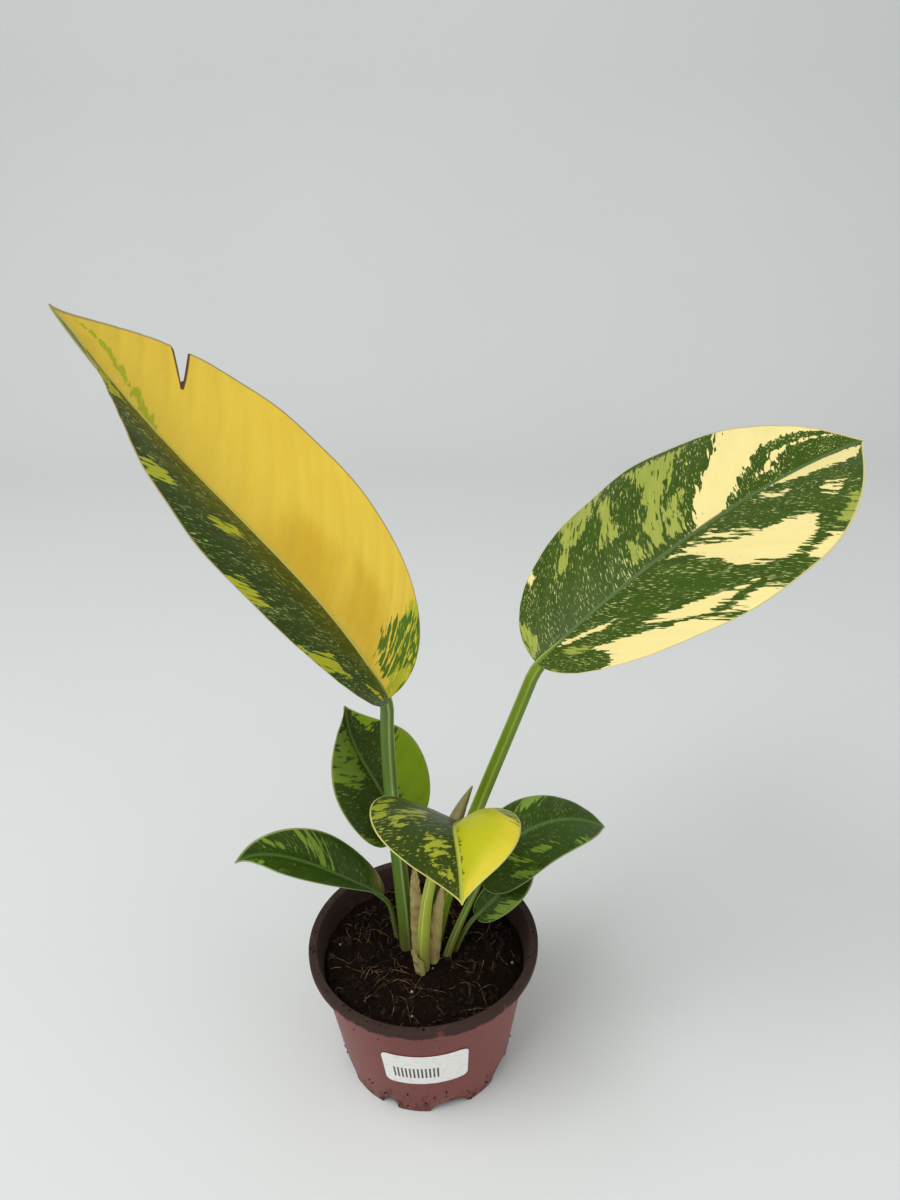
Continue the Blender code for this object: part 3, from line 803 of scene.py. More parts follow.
def make_stalk(name, finish):
    """A stalk from below the soil to its blade, then on along the rib's underside as a taper."""
    (foot, *others), low, high, azimuth = STALKS[name]
    path = bezier(((*foot, FOOT_Z), *others), np.linspace(0, 1, STALK_STEPS))
    leaf = LEAVES[name]
    rib = rib_frame(leaf["rib"], *leaf["face"])
    reach = 0.07 * rib[0][-1] + 3
    place, normal, _ = frame_at(rib, np.linspace(0.15, 1, TAPER_STEPS) * reach)
    depth = np.linspace(0.75, 0.35, TAPER_STEPS)[:, None] * high
    line = np.concatenate((path, place - normal * depth))
    line[1:-1] = (line[:-2] + 2 * line[1:-1] + line[2:]) / 4
    taper = high * np.linspace(0.95, 0.3, TAPER_STEPS)
    radii = np.concatenate((np.linspace(low, high, STALK_STEPS), taper))
    points, quads, triangles = ringed_skin(carried(line, radii, azimuth, channelled))
    stalk = object_from(f"{name}_stalk", points, quads, triangles, finish)
    angle = np.linspace(0, 2 * np.pi, AROUND, endpoint=False)
    away = np.abs(np.angle(np.exp(1j * angle)))
    # Where the pale painted highlight lies: a narrow band along each of the two ridges.
    ridge = np.exp(-(((away - RIDGE_ANGLE) / 0.14) ** 2))
    values = np.concatenate((np.tile(ridge, len(line)), (0.0, 0.0)))
    store(stalk, "ridge", values, "FLOAT")
    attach(stalk, "root")
    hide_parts(f"stalk_{name}")
    return stalk


# %% [markdown]
# ## Stalk skin
#
# The skin is smooth and waxy like the blade, with long fine streaks, a pale painted highlight
# along the ridges, and a brown tinge where it comes out of the sheath at the soil.

# %% The stalk finish
FOOT_TINGE_MM = (58.0, 84.0)
SOIL_TINGE = "#6B5A35"


def stalk_finish(name, dark, light, ridge_highlight):
    """Long streaks between two greens, a painted highlight on the ridges, and a brown tinge near
    the soil.
    """
    made, tree, shader = new_finish(
        name, Roughness=0.38, Subsurface_Weight=0.1, Subsurface_Scale=0.001,
        Specular_IOR_Level=0.28)
    place = add_node(tree, "ShaderNodeTexCoord").outputs["Object"]
    height = add_node(tree, "ShaderNodeSeparateXYZ", {0: place}).outputs[2]
    ridge = add_node(tree, "ShaderNodeAttribute", attribute_name="ridge").outputs["Fac"]
    drawn_out = add_node(tree, "ShaderNodeMapping", {"Vector": place, "Scale": (900, 900, 45)})
    streaks = add_node(
        tree, "ShaderNodeTexNoise", {"Vector": drawn_out.outputs[0], "Scale": 1.0, "Detail": 3.0})
    patches = add_node(tree, "ShaderNodeTexNoise", {"Vector": place, "Scale": 60.0, "Detail": 2.0})
    tinge = add_node(
        tree, "ShaderNodeMapRange",
        {"Value": height, "From Min": FOOT_TINGE_MM[1] * MM, "From Max": FOOT_TINGE_MM[0] * MM,
         "To Max": 0.75})
    # The third layer is a pale painted highlight along the ridges.
    layers = (
        (streaks.outputs[0], light), (patches.outputs[0], light), (ridge, ridge_highlight),
        (tinge.outputs[0], SOIL_TINGE))
    return layered(made, tree, shader, dark, layers, streaks.outputs[0], 0.4, 0.1)


# Tones for each stalk: dark, light, and the pale painted highlight on its ridges.
STALK_TONES = {
    "left_tall": ("#35520F", "#5E7B2C", "#A4B070"), "right_tall": ("#355210", "#708A22", "#93A03A"),
    "front": ("#7E942C", "#A2AE40", "#BDC268"), "back": ("#3C5A18", "#5E7A2C", "#82944A"),
    "low_left": ("#45621E", "#667F38", "#82924E"), "low_right": ("#48661C", "#6F8A34", "#93A258"),
    "low_small": ("#3A5618", "#5A7430", "#788848"),
}
stalks = [
    make_stalk(name, stalk_finish(f"waxy_stalk_{name}", *tones))
    for name, tones in STALK_TONES.items()
]
print("stalks:", len(stalks))

# %% [markdown]
# ## The rolled new leaf and the papery sheaths
#
# The next leaf stands rolled up in its sheath, thickest above its middle, with the overlapping edge
# winding up it as a seam. Older sheaths have dried to thin brown paper: cupped strips with uneven
# edges and a torn top.

# %% The rolled new leaf
SPEAR_LINE = ((1, 8), (2, 11, 90), (13, 11, 125), (24, 8, 151))
SPEAR_STEPS = 90
SPEAR_RADII = (2.6, 2.8, 3.2, 3.6, 3.9, 4.1, 4.1, 3.7, 3.0, 1.9, 0.4)


def rolled(angle, t):
    """A spiral: the radius grows by a tenth in one turn, and the step between is the seam."""
    turn = np.mod(angle / (2 * np.pi) + 0.35 * t + 0.55, 1.0)
    return 0.93 + 0.14 * turn**2


def make_spear(finish):
    """The rolled leaf as a spiral section carried along its line."""
    t = np.linspace(0, 1, SPEAR_STEPS)
    line = bezier(((*SPEAR_LINE[0], FOOT_Z), *SPEAR_LINE[1:]), t)
    radii = np.interp(t, np.linspace(0, 1, len(SPEAR_RADII)), SPEAR_RADII)
    points, quads, triangles = ringed_skin(carried(line, radii, 0, rolled))
    spear = object_from("rolled_new_leaf", points, quads, triangles, finish)
    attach(spear, "root")
    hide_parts("new_leaf_spear")
    return spear


# %% The papery sheaths: middle line, azimuth, half-width in mm, and cupping in degrees
SHEATHS = {
    "left": (((-3, -4, 57), (-3, -3, 80), (-3, -2, 100), (-3, -1, 118)), -20, 4.0, 50),
    "front": (((-3, -13, 57), (-3, -13, 63), (-4, -13, 68), (-5, -13, 75)), -50, 4.5, 57),
    "right": (((5, -8, 57), (6, -8, 80), (8, -7, 98), (11, -7, 112)), 20, 3.6, 50),
}
PAPER_THICKNESS = 0.25
SHEATH_GRID = (90, 25)
CRINKLE = 0.3


def make_sheath(name, finish, seed):
    """A cupped strip: its half-width swells, then closes to a torn tip, and its edges wander."""
    line, azimuth, width, cup = SHEATHS[name]
    rows, columns = SHEATH_GRID
    s, w = np.meshgrid(np.linspace(0, 1, rows), np.linspace(-1, 1, columns), indexing="ij")
    rib = rib_frame(line, (azimuth, 0), (azimuth, 0))
    half = width * (0.5 + 0.5 * np.sin(np.pi * s**0.7)) * (1 - 0.8 * s**6)
    half *= 1 + 0.12 * ripple(s * rib[0][-1], w, seed, finest=3.0)
    torn = 1 - 0.10 * np.abs(ripple(w * width, 0 * w, seed + 3, finest=1.5)) * s**4
    place, normal, sideways = frame_at(rib, s * torn * rib[0][-1])
    side = np.where(w < 0, -1.0, 1.0)
    points = arched(place, normal, sideways, side, half * np.abs(w), width, 0, -cup)
    crinkles = CRINKLE * ripple(s * rib[0][-1], w * width, seed + 1, finest=2.5)
    points = points + normal * crinkles[..., None]
    sheath = closed_sheet(f"dry_sheath_{name}", points, points - normal * PAPER_THICKNESS, finish)
    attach(sheath, "root")
    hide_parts(f"sheath_{name}")
    return sheath


def dry_tissue_finish(name, pale, dark, roughness):
    """Dried plant tissue: brown fibres that run up the strip, matt, with blotches."""
    made, tree, shader = new_finish(name, Roughness=roughness)
    place = add_node(tree, "ShaderNodeTexCoord").outputs["Object"]
    fibre_place = add_node(tree, "ShaderNodeMapping", {"Vector": place, "Scale": (1400, 1400, 90)})
    fibres = add_node(
        tree, "ShaderNodeTexNoise", {"Vector": fibre_place.outputs[0], "Scale": 1.0, "Detail": 4.0})
    blotches = add_node(
        tree, "ShaderNodeTexNoise", {"Vector": place, "Scale": 180.0, "Detail": 3.0})
    spotted = add_node(
        tree, "ShaderNodeMapRange",
        {"Value": blotches.outputs[0], "From Min": 0.5, "From Max": 0.62, "To Max": 0.55})
    layers = ((fibres.outputs[0], pale), (spotted.outputs[0], dark))
    return layered(made, tree, shader, dark, layers, fibres.outputs[0], 0.6, 0.2)


spear = make_spear(dry_tissue_finish("olive_rolled_leaf", "#A59566", "#74703C", 0.5))
papery = dry_tissue_finish("dried_sheath_paper", "#BDAE70", "#85763F", 0.7)
sheaths = [make_sheath(name, papery, 20 + i) for i, name in enumerate(SHEATHS)]
print("spear faces:", len(spear.data.polygons), "sheaths:", len(sheaths))

# %% [markdown]
# ## The pot
#
# A nursery pot is drawn from one warm sheet of polypropylene over a mould, so its wall is about a
# millimetre thick and every corner is rounded. The rim turns over into a lip, the wall tapers,
# and the foot has arches that let water out. A turned profile gives all of it. The arches are a
# lift of the lowest points that depends on the azimuth.

# %% The pot's profile, in millimetres, and its notches: azimuth and width in degrees
POT_HEIGHT = 70.0
RIM_RADIUS = 54.0
MOUTH_RADIUS = 50.2
SHOULDER_RADIUS = 50.0
BASE_RADIUS = 40.0
LIP_HEIGHT = 4.0
SHOULDER_HEIGHT = 5.0
WALL = 1.3
LIP_WALL = 1.2
LIP_TOP = 1.6
EDGE_ROUND = 0.6
LONGEST_RUN = 2.5
SKIRT_WALL = 1.6
PAD_FLOOR = 1.6
FLOOR_RISE = 5.5
PAD_RADIUS = 14.0
TURN_STEPS = 288
NOTCHES = ((-25, 12), (16, 26), (62, 22), (106, 22), (150, 22), (194, 22), (239, 24), (290, 26))
NOTCH_HEIGHT = 5.0
NOTCH_FADE = 9.0


def wall_radius(z):
    """Outer radius of the tapered wall at a height: a straight line from base to shoulder."""
    return BASE_RADIUS + (SHOULDER_RADIUS - BASE_RADIUS) * z / (POT_HEIGHT - LIP_HEIGHT)


def rounded(profile, radius, steps=4):
    """Every inner corner replaced by a short arc that starts and ends a radius from it."""
    profile = np.array(profile, float)
    before, corner, after = profile[:-2], profile[1:-1], profile[2:]
    back, ahead = before - corner, after - corner
    lengths = [np.linalg.norm(edge, axis=1, keepdims=True) for edge in (back, ahead)]
    start = corner + back / lengths[0] * np.minimum(radius, 0.45 * lengths[0])
    end = corner + ahead / lengths[1] * np.minimum(radius, 0.45 * lengths[1])
    t = np.linspace(0, 1, steps)[None, :, None]
    arcs = (1 - t) ** 2 * start[:, None] + 2 * t * (1 - t) * corner[:, None] + t**2 * end[:, None]
    return np.concatenate((profile[:1], arcs.reshape(-1, 2), profile[-1:]))


def subdivided(profile, longest):
    """More points on the long straight runs, so that the foot's arches can bend them."""
    pieces = []
    for a, b in zip(profile, profile[1:]):
        count = max(1, int(np.linalg.norm(b - a) / longest))
        pieces.append(a + (b - a) * np.linspace(0, 1, count, endpoint=False)[:, None])
    return np.concatenate((*pieces, profile[-1:]))


def foot_arch(azimuth):
    """Height of the arch cut in the foot, a half-ellipse: the root of 1 less the share squared."""
    height = np.zeros(azimuth.shape)
    for centre, width in NOTCHES:
        away = np.abs(np.mod(azimuth - centre + 180, 360) - 180) / (width / 2)
        height = np.maximum(height, NOTCH_HEIGHT * np.sqrt(np.clip(1 - away**2, 0, 1)))
    return height


def turned_rings(profile, azimuth):
    """The profile's (radius, height) pairs at each azimuth, as rings of points."""
    turn = np.radians(azimuth)[None, :]
    radius, height = profile[:, 0, None], profile[:, 1, None]
    return np.stack(
        (radius * np.sin(turn), -radius * np.cos(turn), height + 0 * turn), axis=-1)


under_lip = POT_HEIGHT - LIP_HEIGHT
shoulder = under_lip - SHOULDER_HEIGHT
floor_top = FLOOR_RISE + WALL
POT_PROFILE = (
    (2.0, 0),
    (PAD_RADIUS, 0),
    (PAD_RADIUS + 2.5, FLOOR_RISE),
    (BASE_RADIUS - SKIRT_WALL, FLOOR_RISE),
    (BASE_RADIUS - SKIRT_WALL, 0),
    (BASE_RADIUS, 0),
    (wall_radius(shoulder) - 0.2, shoulder - 0.3),
    (wall_radius(shoulder) + 0.3, shoulder + 0.3),
    (wall_radius(under_lip) + 0.2, under_lip),
    (wall_radius(under_lip) + 0.6, POT_HEIGHT - LIP_TOP),
    (RIM_RADIUS - LIP_WALL, POT_HEIGHT - LIP_TOP),
    (RIM_RADIUS - LIP_WALL, under_lip),
    (RIM_RADIUS, under_lip),
    (RIM_RADIUS, POT_HEIGHT),
    (MOUTH_RADIUS, POT_HEIGHT),
    (wall_radius(under_lip) - WALL, under_lip - 1),
    (wall_radius(floor_top) - WALL, floor_top),
    (PAD_RADIUS + 1, floor_top),
    (PAD_RADIUS - 1.5, PAD_FLOOR),
    (2.0, PAD_FLOOR),
)

# %% [markdown]
# The rim of a drawn pot is never quite flat, so it gets a wave of a quarter of a millimetre. The
# drain holes are cut with an exact Boolean that is applied at once.

# %% Turn the pot and drill it
DRAIN_HOLES = 6
DRAIN_RADIUS = 3.0
DRAIN_CIRCLE = 27.0
DRAIN_TURN = 30
DRAIN_SIDES = 32
DRAIN_CUT = (1.0, 12.0)


def drilled(piece):
    """The piece with a ring of drain holes cut through its floor, and the cutters removed."""
    angle = np.linspace(0, 2 * np.pi, DRAIN_SIDES, endpoint=False)
    flat = np.stack((np.cos(angle), np.sin(angle), 0 * angle), axis=-1) * DRAIN_RADIUS
    ends = np.array([(0, 0, z) for z in DRAIN_CUT])[:, None]
    azimuths = [i * 360 / DRAIN_HOLES + DRAIN_TURN for i in range(DRAIN_HOLES)]
    skins = [ringed_skin(flat + direction(turn, 0) * DRAIN_CIRCLE + ends) for turn in azimuths]
    cutter = many("drain_cutter", np.stack([skin[0] for skin in skins]), *skins[0][1:])
    cut = piece.modifiers.new("drains", "BOOLEAN")
    cut.operation = "DIFFERENCE"
    cut.solver = "EXACT"
    cut.object = cutter
    bpy.context.view_layer.update()
    evaluated = piece.evaluated_get(bpy.context.evaluated_depsgraph_get())
    mesh = bpy.data.meshes.new_from_object(evaluated)
    piece.modifiers.clear()
    piece.data = mesh
    bpy.data.objects.remove(cutter)
    return piece


def make_pot(finish):
    """The rounded profile turned about the Z axis, its foot lifted into arches."""
    profile = subdivided(rounded(POT_PROFILE, EDGE_ROUND), LONGEST_RUN)
    azimuth = np.arange(TURN_STEPS) * 360 / TURN_STEPS
    rings = turned_rings(profile, azimuth)
    z = rings[..., 2]
    skirt = profile[:, 0, None] > BASE_RADIUS - SKIRT_WALL - 0.1
    outer = skirt & (z < NOTCH_FADE) & (np.arange(len(profile))[:, None] < len(profile) * 0.7)
    lift = foot_arch(azimuth)[None, :] * np.clip(1 - z / NOTCH_FADE, 0, 1)
    lifted = np.where(outer, z + lift, z)
    inner = skirt & (profile[:, 0, None] < BASE_RADIUS - 0.2) & (z < FLOOR_RISE)
    rings[..., 2] = np.where(inner, np.minimum(lifted, FLOOR_RISE), lifted)
    wave = 0.25 * np.sin(np.radians(2 * azimuth + 40)) + 0.12 * np.sin(np.radians(5 * azimuth))
    rings[..., 2] += wave[None, :] * np.clip((rings[..., 2] - 40) / 30, 0, 1) - 0.15 * (z > 60)
    pot = object_from("nursery_pot", *ringed_skin(rings), finish)
    return drilled(pot)


# %% [markdown]
# ## Moulded polypropylene, handled and dusty
#
# The plastic is brick red-brown with a satin skin. Soil dust has settled in the shoulder, on the
# rim and near the foot, and shows as matt grey-brown specks and smears. Fine draw lines run down
# the wall. Dust is rougher than the plastic, so it drives the roughness as well as the colour.

# %% The pot finish
RIM_DUST_MM = (65.0, 68.0)
FOOT_DUST_MM = (22.0, 2.0)


def pot_finish():
    """Brick-brown plastic, draw marks, and dust on the inner wall, at the rim and at the foot.

    A point is inside where its radius, less the wall's slope times its height, is below the middle
    of the wall.
    """
    made, tree, shader = new_finish("brick_polypropylene", IOR=1.49, Specular_IOR_Level=0.35)
    place = add_node(tree, "ShaderNodeTexCoord").outputs["Object"]
    height = add_node(tree, "ShaderNodeSeparateXYZ", {0: place}).outputs[2]
    clouds = add_node(tree, "ShaderNodeTexNoise", {"Vector": place, "Scale": 45.0, "Detail": 3.0})
    specks = add_node(tree, "ShaderNodeTexNoise", {"Vector": place, "Scale": 900.0, "Detail": 2.0})
    run_down = add_node(tree, "ShaderNodeMapping", {"Vector": place, "Scale": (160, 160, 60)})
    smears = add_node(
        tree, "ShaderNodeTexNoise",
        {"Vector": run_down.outputs[0], "Scale": 1.0, "Detail": 5.0, "Roughness": 0.7})
    rim = add_node(
        tree, "ShaderNodeMapRange",
        {"Value": height, "From Min": RIM_DUST_MM[0] * MM, "From Max": RIM_DUST_MM[1] * MM,
         "To Max": 0.46})
    foot = add_node(
        tree, "ShaderNodeMapRange",
        {"Value": height, "From Min": FOOT_DUST_MM[0] * MM, "From Max": FOOT_DUST_MM[1] * MM,
         "To Max": 0.22})
    across = add_node(tree, "ShaderNodeVectorMath", {0: place, 1: (1, 1, 0)}, operation="MULTIPLY")
    radius = add_node(tree, "ShaderNodeVectorMath", {0: across.outputs[0]}, operation="LENGTH")
    slope = (SHOULDER_RADIUS - BASE_RADIUS) / under_lip
    depth = add_node(
        tree, "ShaderNodeMath", {0: height, 1: -slope, 2: radius.outputs["Value"]},
        operation="MULTIPLY_ADD")
    inside = add_node(
        tree, "ShaderNodeMath", {0: depth.outputs[0], 1: (BASE_RADIUS - WALL / 2) * MM},
        operation="LESS_THAN")
    nearby = add_node(
        tree, "ShaderNodeMath", {0: inside.outputs[0], 1: 0.42, 2: rim.outputs[0]},
        operation="MULTIPLY_ADD")
    nearby = add_node(
        tree, "ShaderNodeMath", {0: nearby.outputs[0], 1: foot.outputs[0]}, operation="ADD")
    level = add_node(
        tree, "ShaderNodeMath", {0: smears.outputs[0], 1: nearby.outputs[0]}, operation="ADD")
    dust = add_node(
        tree, "ShaderNodeMapRange",
        {"Value": level.outputs[0], "From Min": 0.66, "From Max": 0.86, "To Max": 0.95})
    grit = add_node(
        tree, "ShaderNodeMapRange",
        {"Value": specks.outputs[0], "From Min": 0.70, "From Max": 0.73, "To Max": 0.8})
    rough = add_node(
        tree, "ShaderNodeMapRange", {"Value": dust.outputs[0], "To Min": 0.42, "To Max": 0.85})
    tree.links.new(rough.outputs[0], shader.inputs["Roughness"])
    layers = (
        (clouds.outputs[0], "#7E3A31"), (dust.outputs[0], "#2C201A"), (grit.outputs[0], "#2E221C"))
    return layered(made, tree, shader, "#692D27", layers, smears.outputs[0], 0.3, 0.2)


pot = make_pot(pot_finish())
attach(pot, "root")
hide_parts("pot")
print("pot faces:", len(pot.data.polygons))

# %% [markdown]
# ## The growing mix
#
# The mix is peat with composted bark and coconut fibre. Its top is a bumpy disc that dips towards
# the wall. Loose crumbs and curled fibres lie on it, and a few crumbs lie on the rim. Each crumb
# is a small sphere pushed out of round, with a few dozen faces, because there are hundreds.

# %% The soil surface
SOIL_EDGE = 57.5
SOIL_MIDDLE = 60.0
SOIL_RADIUS = 47.0
SOIL_RINGS = 90
SOIL_STEPS = 240
SOIL_FLOOR = 20.0


def soil_height(x, y):
    """A dome from the edge to the middle, roughened by ripples of three sizes."""
    share = np.clip(np.hypot(x, y) / SOIL_RADIUS, 0, 1)
    dome = SOIL_MIDDLE + (SOIL_EDGE - SOIL_MIDDLE) * share**2
    rough = 1.1 * ripple(x, y, 31, finest=9.0) + 0.8 * np.abs(ripple(x, y, 32, finest=3.2))
    return dome + rough + 0.35 * ripple(x, y, 33, waves=24, finest=1.3)


def make_soil(finish):
    """Rings up the side of the root ball and inwards over its top."""
    azimuth = np.arange(SOIL_STEPS) * 360 / SOIL_STEPS
    side_z = np.linspace(SOIL_FLOOR, SOIL_EDGE - 1.5, 8)
    side = np.stack((wall_radius(side_z) - WALL - 0.6, side_z), axis=-1)
    outer = wall_radius(SOIL_EDGE) - WALL - 0.4
    top_r = np.linspace(outer, 0.4, SOIL_RINGS)
    top = np.stack((top_r, np.zeros(SOIL_RINGS)), axis=-1)
    floor = np.array(((1.0, SOIL_FLOOR), (20.0, SOIL_FLOOR)))
    rings = turned_rings(np.concatenate((floor, side, top)), azimuth)
    surface = rings[-SOIL_RINGS:]
    surface[..., 2] = soil_height(surface[..., 0], surface[..., 1])
    return object_from("growing_mix", *ringed_skin(rings), finish)


def soil_finish():
    """Moist peat: near-black brown grains with paler fibre ends, fully matt."""
    made, tree, shader = new_finish("peat_and_bark_mix", Roughness=0.95, Specular_IOR_Level=0.06)
    place = add_node(tree, "ShaderNodeTexCoord").outputs["Object"]
    grains = add_node(tree, "ShaderNodeTexNoise", {"Vector": place, "Scale": 1100.0, "Detail": 5.0})
    patches = add_node(tree, "ShaderNodeTexNoise", {"Vector": place, "Scale": 150.0, "Detail": 4.0})
    spots = add_node(
        tree, "ShaderNodeMapRange",
        {"Value": grains.outputs[0], "From Min": 0.58, "From Max": 0.72})
    layers = ((patches.outputs[0], "#1C120C"), (spots.outputs[0], "#2C1F16"))
    return layered(made, tree, shader, "#080504", layers, grains.outputs[0], 1.0, 0.8)


growing_mix = make_soil(soil_finish())
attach(growing_mix, "root")
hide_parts("potting_soil", "crown")
print("soil faces:", len(growing_mix.data.polygons))


# %% Crumbs and fibres
def lump_shape():
    """A small sphere of three rings of seven points and two poles."""
    turn = np.linspace(0, 2 * np.pi, 7, endpoint=False)
    rings = [
        np.stack((r * np.cos(turn + k), r * np.sin(turn + k), z + 0 * turn), axis=-1)
        for k, (r, z) in enumerate(((0.55, -0.8), (1.0, 0.0), (0.6, 0.75)))
    ]
    return ringed_skin(np.stack(rings))


def random_turns(rng, count):
    """Random rotation matrices, from normalised quaternions."""
    w, x, y, z = unit(rng.normal(size=(count, 4))).T
    return np.stack((
        np.stack((1 - 2 * (y * y + z * z), 2 * (x * y - z * w), 2 * (x * z + y * w)), axis=-1),
        np.stack((2 * (x * y + z * w), 1 - 2 * (x * x + z * z), 2 * (y * z - x * w)), axis=-1),
        np.stack((2 * (x * z - y * w), 2 * (y * z + x * w), 1 - 2 * (x * x + y * y)), axis=-1),
    ), axis=1)


def scattered(name, places, sizes, stretch, finish, seed):
    """One mesh of many lumps, each knocked out of round, stretched, turned and put in its place."""
    rng = np.random.default_rng(seed)
    points, quads, triangles = lump_shape()
    count = len(places)
    knocked = points[None] * rng.uniform(0.72, 1.2, (count, len(points), 1))
    knocked = knocked * (sizes[:, None] * rng.uniform(stretch, 1.0, (count, 3)))[:, None, :]
    placed = np.einsum("nij,nkj->nki", random_turns(rng, count), knocked) + places[:, None]
    made = many(name, placed, quads, triangles, finish)
    made.data.polygons.foreach_set("use_smooth", np.zeros(len(made.data.polygons), bool))
    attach(made, "root")
    return made


def on_soil(rng, count, reach):
    """Random places spread evenly over the disc of the given radius, at the soil's height."""
    radius = reach * np.sqrt(rng.uniform(0.02, 1, count))
    turn = rng.uniform(0, 2 * np.pi, count)
    x, y = radius * np.cos(turn), radius * np.sin(turn)
    return np.stack((x, y, soil_height(x, y)), axis=-1)


def crumb_finish(name, dark, light):
    """Bark or mineral crumbs: two tones mixed in small patches, matt."""
    made, tree, shader = new_finish(name, Roughness=0.9, Specular_IOR_Level=0.12)
    place = add_node(tree, "ShaderNodeTexCoord").outputs["Object"]
    patches = add_node(tree, "ShaderNodeTexNoise", {"Vector": place, "Scale": 420.0, "Detail": 3.0})
    tone = add_node(
        tree, "ShaderNodeMapRange",
        {"Value": patches.outputs[0], "From Min": 0.4, "From Max": 0.65})
    layers = ((tone.outputs[0], light),)
    return layered(made, tree, shader, dark, layers, patches.outputs[0], 0.8, 0.4)


# %% [markdown]
# Loose crumbs on the mix are listed as their number, how far out they lie, how high above the
# surface, their least and greatest radius, how flat they may be, and their seed. Crumbs on the rim
# and the wall are placed by their own rules, and none lies over an arch of the foot.

# %% Scatter the crumbs
LOOSE = {
    "bark_crumbs": (420, 46.0, 0.0, (0.7, 3.0), 0.45, 42),
    "peat_crumbs": (1100, 46.5, 0.0, (0.35, 0.9), 0.6, 43),
    "pale_grit": (12, 44.0, 0.4, (0.5, 0.9), 0.7, 44),
}
RIM_CRUMBS = 70
WALL_CRUMBS = 130
FOOT_SHARE = 0.6
rng = np.random.default_rng(41)
bark = crumb_finish("composted_bark", "#0B0705", "#2C1E15")
loose_finishes = {
    "bark_crumbs": bark,
    "peat_crumbs": crumb_finish("crumbled_peat", "#080504", "#1C120C"),
    "pale_grit": crumb_finish("mineral_grit", "#7C6F5B", "#B5AC99"),
}
crumbs = []
for name, (count, spread, lift, sizes, stretch, seed) in LOOSE.items():
    places = on_soil(rng, count, spread) + np.array((0, 0, lift))
    radii = rng.uniform(*sizes, count)
    crumbs.append(scattered(name, places, radii, stretch, loose_finishes[name], seed))

turn = rng.uniform(0, 2 * np.pi, RIM_CRUMBS)
reach = rng.uniform(MOUTH_RADIUS + 0.6, RIM_RADIUS - 0.8, RIM_CRUMBS)
places = np.stack(
    (reach * np.cos(turn), reach * np.sin(turn), np.full(RIM_CRUMBS, POT_HEIGHT)), axis=-1)
crumbs.append(scattered("rim_crumbs", places, rng.uniform(0.2, 0.65, RIM_CRUMBS), 0.6, bark, 45))

turn = rng.uniform(0, 2 * np.pi, WALL_CRUMBS)
near_foot = rng.random(WALL_CRUMBS) < FOOT_SHARE
low, high = rng.uniform(1.0, 16.0, WALL_CRUMBS), rng.uniform(52.0, 65.0, WALL_CRUMBS)
height = np.where(near_foot, low, high)
reach = wall_radius(height) + 0.1
places = np.stack((reach * np.cos(turn), reach * np.sin(turn), height), axis=-1)
places = places[foot_arch(np.degrees(turn) + 90) < height - 1]
crumbs.append(scattered("wall_crumbs", places, rng.uniform(0.15, 0.7, len(places)), 0.5, bark, 46))
print("crumb faces:", {piece.name: len(piece.data.polygons) for piece in crumbs})


# %% Coconut fibres
FIBRE_STEPS = 9
FIBRE_SIDES = 4
FIBRE_SPREAD = 43.0
FIBRE_REACH = 45.5


def make_fibres(count, finish, seed):
    """Thin curled tubes: each path is an arc on the soil with a random heading, bend and lift."""
    rng = np.random.default_rng(seed)
    start = on_soil(rng, count, FIBRE_SPREAD)
    heading = rng.uniform(0, 2 * np.pi, count)[:, None]
    bend = rng.normal(0, 1.0, count)[:, None]
    length = rng.uniform(4, 15, count)[:, None]
    t = np.linspace(0, 1, FIBRE_STEPS)[None, :]
    angle = heading + bend * t
    step = length / (FIBRE_STEPS - 1)
    x = start[:, :1] + np.cumsum(np.cos(angle) * step, axis=1)
    y = start[:, 1:2] + np.cumsum(np.sin(angle) * step, axis=1)
    inside = np.minimum(1, FIBRE_REACH / np.hypot(x, y))
    x, y = x * inside, y * inside
    lift = 0.35 + rng.uniform(0, 1.8, count)[:, None] * np.sin(np.pi * t)
    line = np.stack((x, y, soil_height(x, y) + lift), axis=-1)
    tangent = unit(np.gradient(line, axis=1) + 1e-6)
    side = unit(np.cross(tangent, np.array((0.0, 0.0, 1.0))))
    up = np.cross(side, tangent)
    around = np.linspace(0, 2 * np.pi, FIBRE_SIDES, endpoint=False)
    cosine, sine = (wave(around)[:, None, None, None] for wave in (np.cos, np.sin))
    section = cosine * side - sine * up
    radius = rng.uniform(0.1, 0.24, count)[:, None, None] * (1 - 0.6 * t[..., None] ** 2)
    rings = np.moveaxis(line + section * radius, 0, 2)
    _, quads, triangles = ringed_skin(rings[0])
    caps = np.stack((rings[:, 0].mean(axis=1), rings[:, -1].mean(axis=1)), axis=1)
    points = np.concatenate((rings.reshape(count, -1, 3), caps), axis=1)
    made = many("coconut_fibres", points, quads, triangles, finish)
    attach(made, "root")
    return made


fibres = make_fibres(150, crumb_finish("coconut_fibre", "#46321F", "#826443"), 51)
print("fibre faces:", len(fibres.data.polygons))

# %% [markdown]
# ## The blank label
#
# A paper sticker wraps the front of the tapered wall, a little out of level. It is a flat
# rectangle with rounded corners, moved on to the cone, and carries no lettering: only a plain
# printed block of evenly spaced bars. Its edge has lifted slightly and picked up dust.

# %% The label
LABEL_SIZE = (39.0, 22.0)
LABEL_TURN = 1.0
LABEL_MIDDLE = 36.0
LABEL_TILT = 2.0
LABEL_CORNER = 3.0
LABEL_GAP = 0.05
LABEL_THICKNESS = 0.15
LABEL_GRID = (121, 71)
BAR_HALF_SPACING = 0.9
BAR_HALF_WIDTH = 0.42


